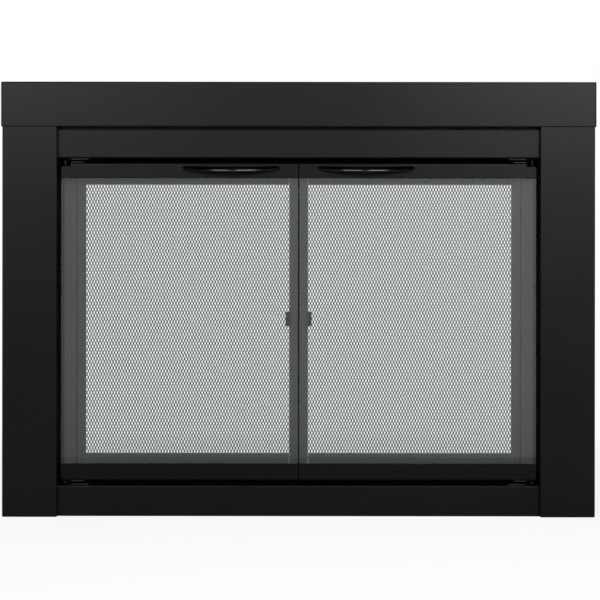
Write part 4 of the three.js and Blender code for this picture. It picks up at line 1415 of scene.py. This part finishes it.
@recipe("pale_floor")
def floor_material(r):
    """Pale floor: shown white to the eye and through glass with the shadow kept in it, plain
    white far off, and a plain pale surface to every other ray."""
    s = settings().stage
    shown, glossy = ray_kinds(r)
    spot = r.value("VectorMath", "Value", {"operation": "LENGTH"}, i0=r.place())
    far = r.ramp(spot, s.fade_from, s.fade_to)
    tone = r.mix(r.noise(40, 3.0, 0.6), scaled(s.floor, 0.97), s.floor)
    dull = r.node("BsdfDiffuse", Color=tone)
    white = r.node("Emission", Color=(1.0, 1.0, 1.0), Strength=1.0 - glossy * 0.50)
    share_white = shown.math("MAXIMUM", shown * (0.84 + far * 0.16), glossy)
    r.finish(r.node("MixShader", i0=share_white, i1=r.out(dull), i2=r.out(white)))


def aim(thing, target):
    """Turns a lamp or camera so that its -Z axis points at the target."""
    way = Vector(target) - thing.location
    thing.rotation_euler = way.to_track_quat("-Z", "Y").to_euler()


class FIREPLACE_OT_stage(Operator):
    """Lays the floor, hangs the lamps, and sets the camera at the photograph's viewpoint"""
    bl_idname = "fireplace.stage"
    bl_label = "Stage"

    def execute(self, context):
        s = settings().stage
        scene = context.scene
        scene.view_settings.view_transform = "Standard"
        studio_world()

        slab = rounded_rings(-s.floor_half, s.floor_half, -s.floor_ahead, s.floor_behind,
                             [[0, 0], [0, 2 * MM]], 0.2)
        mesh = Form().loft(slab[..., [0, 2, 1]] * [1, 1, -1]).mesh("floor")
        mesh.materials.append(floor_material())
        floor = bpy.data.objects.new("floor", mesh)
        scene.collection.objects.link(floor)

        for name, side, share_of in (("left_lamp", -1, s.left_lamp), ("right_lamp", 1, 1.0)):
            data = bpy.data.lights.new(name, "AREA")
            data.shape = "RECTANGLE"
            data.size, data.size_y = s.lamp_wide, s.lamp_tall
            data.energy = s.lamp_power * share_of
            lamp = bpy.data.objects.new(name, data)
            lamp.location = (side * s.lamp_out, -s.lamp_ahead, s.lamp_up)
            lamp.visible_glossy = False
            lamp.visible_camera = False
            aim(lamp, (0.0, 0.0, s.lamp_target))
            scene.collection.objects.link(lamp)

        data = bpy.data.cameras.new("camera")
        data.lens = s.lens
        data.sensor_width = s.sensor
        camera = bpy.data.objects.new("camera", data)
        camera.location = (s.camera_x, s.camera_y, s.camera_z)
        camera.rotation_euler = (math.pi / 2, s.camera_roll, 0.0)
        scene.collection.objects.link(camera)
        scene.camera = camera
        return {"FINISHED"}


PIECES = (
    FIREPLACE_OT_carried,
    FIREPLACE_OT_panels,
    FIREPLACE_OT_rails,
    FIREPLACE_OT_seals,
    FIREPLACE_OT_stops,
    FIREPLACE_OT_door_rails,
    FIREPLACE_OT_hinges,
    FIREPLACE_OT_tabs,
    FIREPLACE_OT_clamps,
    FIREPLACE_OT_screws,
    FIREPLACE_OT_glass,
    FIREPLACE_OT_handles,
    FIREPLACE_OT_nets,
    FIREPLACE_OT_stage,
)


class FIREPLACE_PT_sidebar(Panel):
    """Lists the pieces of the fireplace door"""
    bl_idname = "FIREPLACE_PT_sidebar"
    bl_label = "Fireplace glass door"
    bl_space_type = "VIEW_3D"
    bl_region_type = "UI"
    bl_category = "Fireplace"

    def draw(self, context):
        column = self.layout.column()
        for piece in PIECES:
            column.operator(piece.bl_idname)
        for name, group in SETTINGS:
            box = column.box()
            box.label(text=name.capitalize())
            for field in group.__annotations__:
                box.prop(getattr(settings(), name), field,
                         text=field.replace("_", " ").capitalize())


CLASSES = (*(group for _, group in SETTINGS), FireplaceSettings, *PIECES, FIREPLACE_PT_sidebar)


def register():
    """Registers the settings, the operators and the sidebar."""
    for item in CLASSES:
        bpy.utils.register_class(item)
    bpy.types.Scene.fireplace_door = PointerProperty(type=FireplaceSettings)


def unregister():
    """Takes away what register set up."""
    del bpy.types.Scene.fireplace_door
    for item in reversed(CLASSES):
        bpy.utils.unregister_class(item)


def main():
    """Registers the add-on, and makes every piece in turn."""
    register()
    for piece in PIECES:
        getattr(bpy.ops.fireplace, piece.bl_idname.split(".")[1])()


if __name__ == "__main__":
    main()
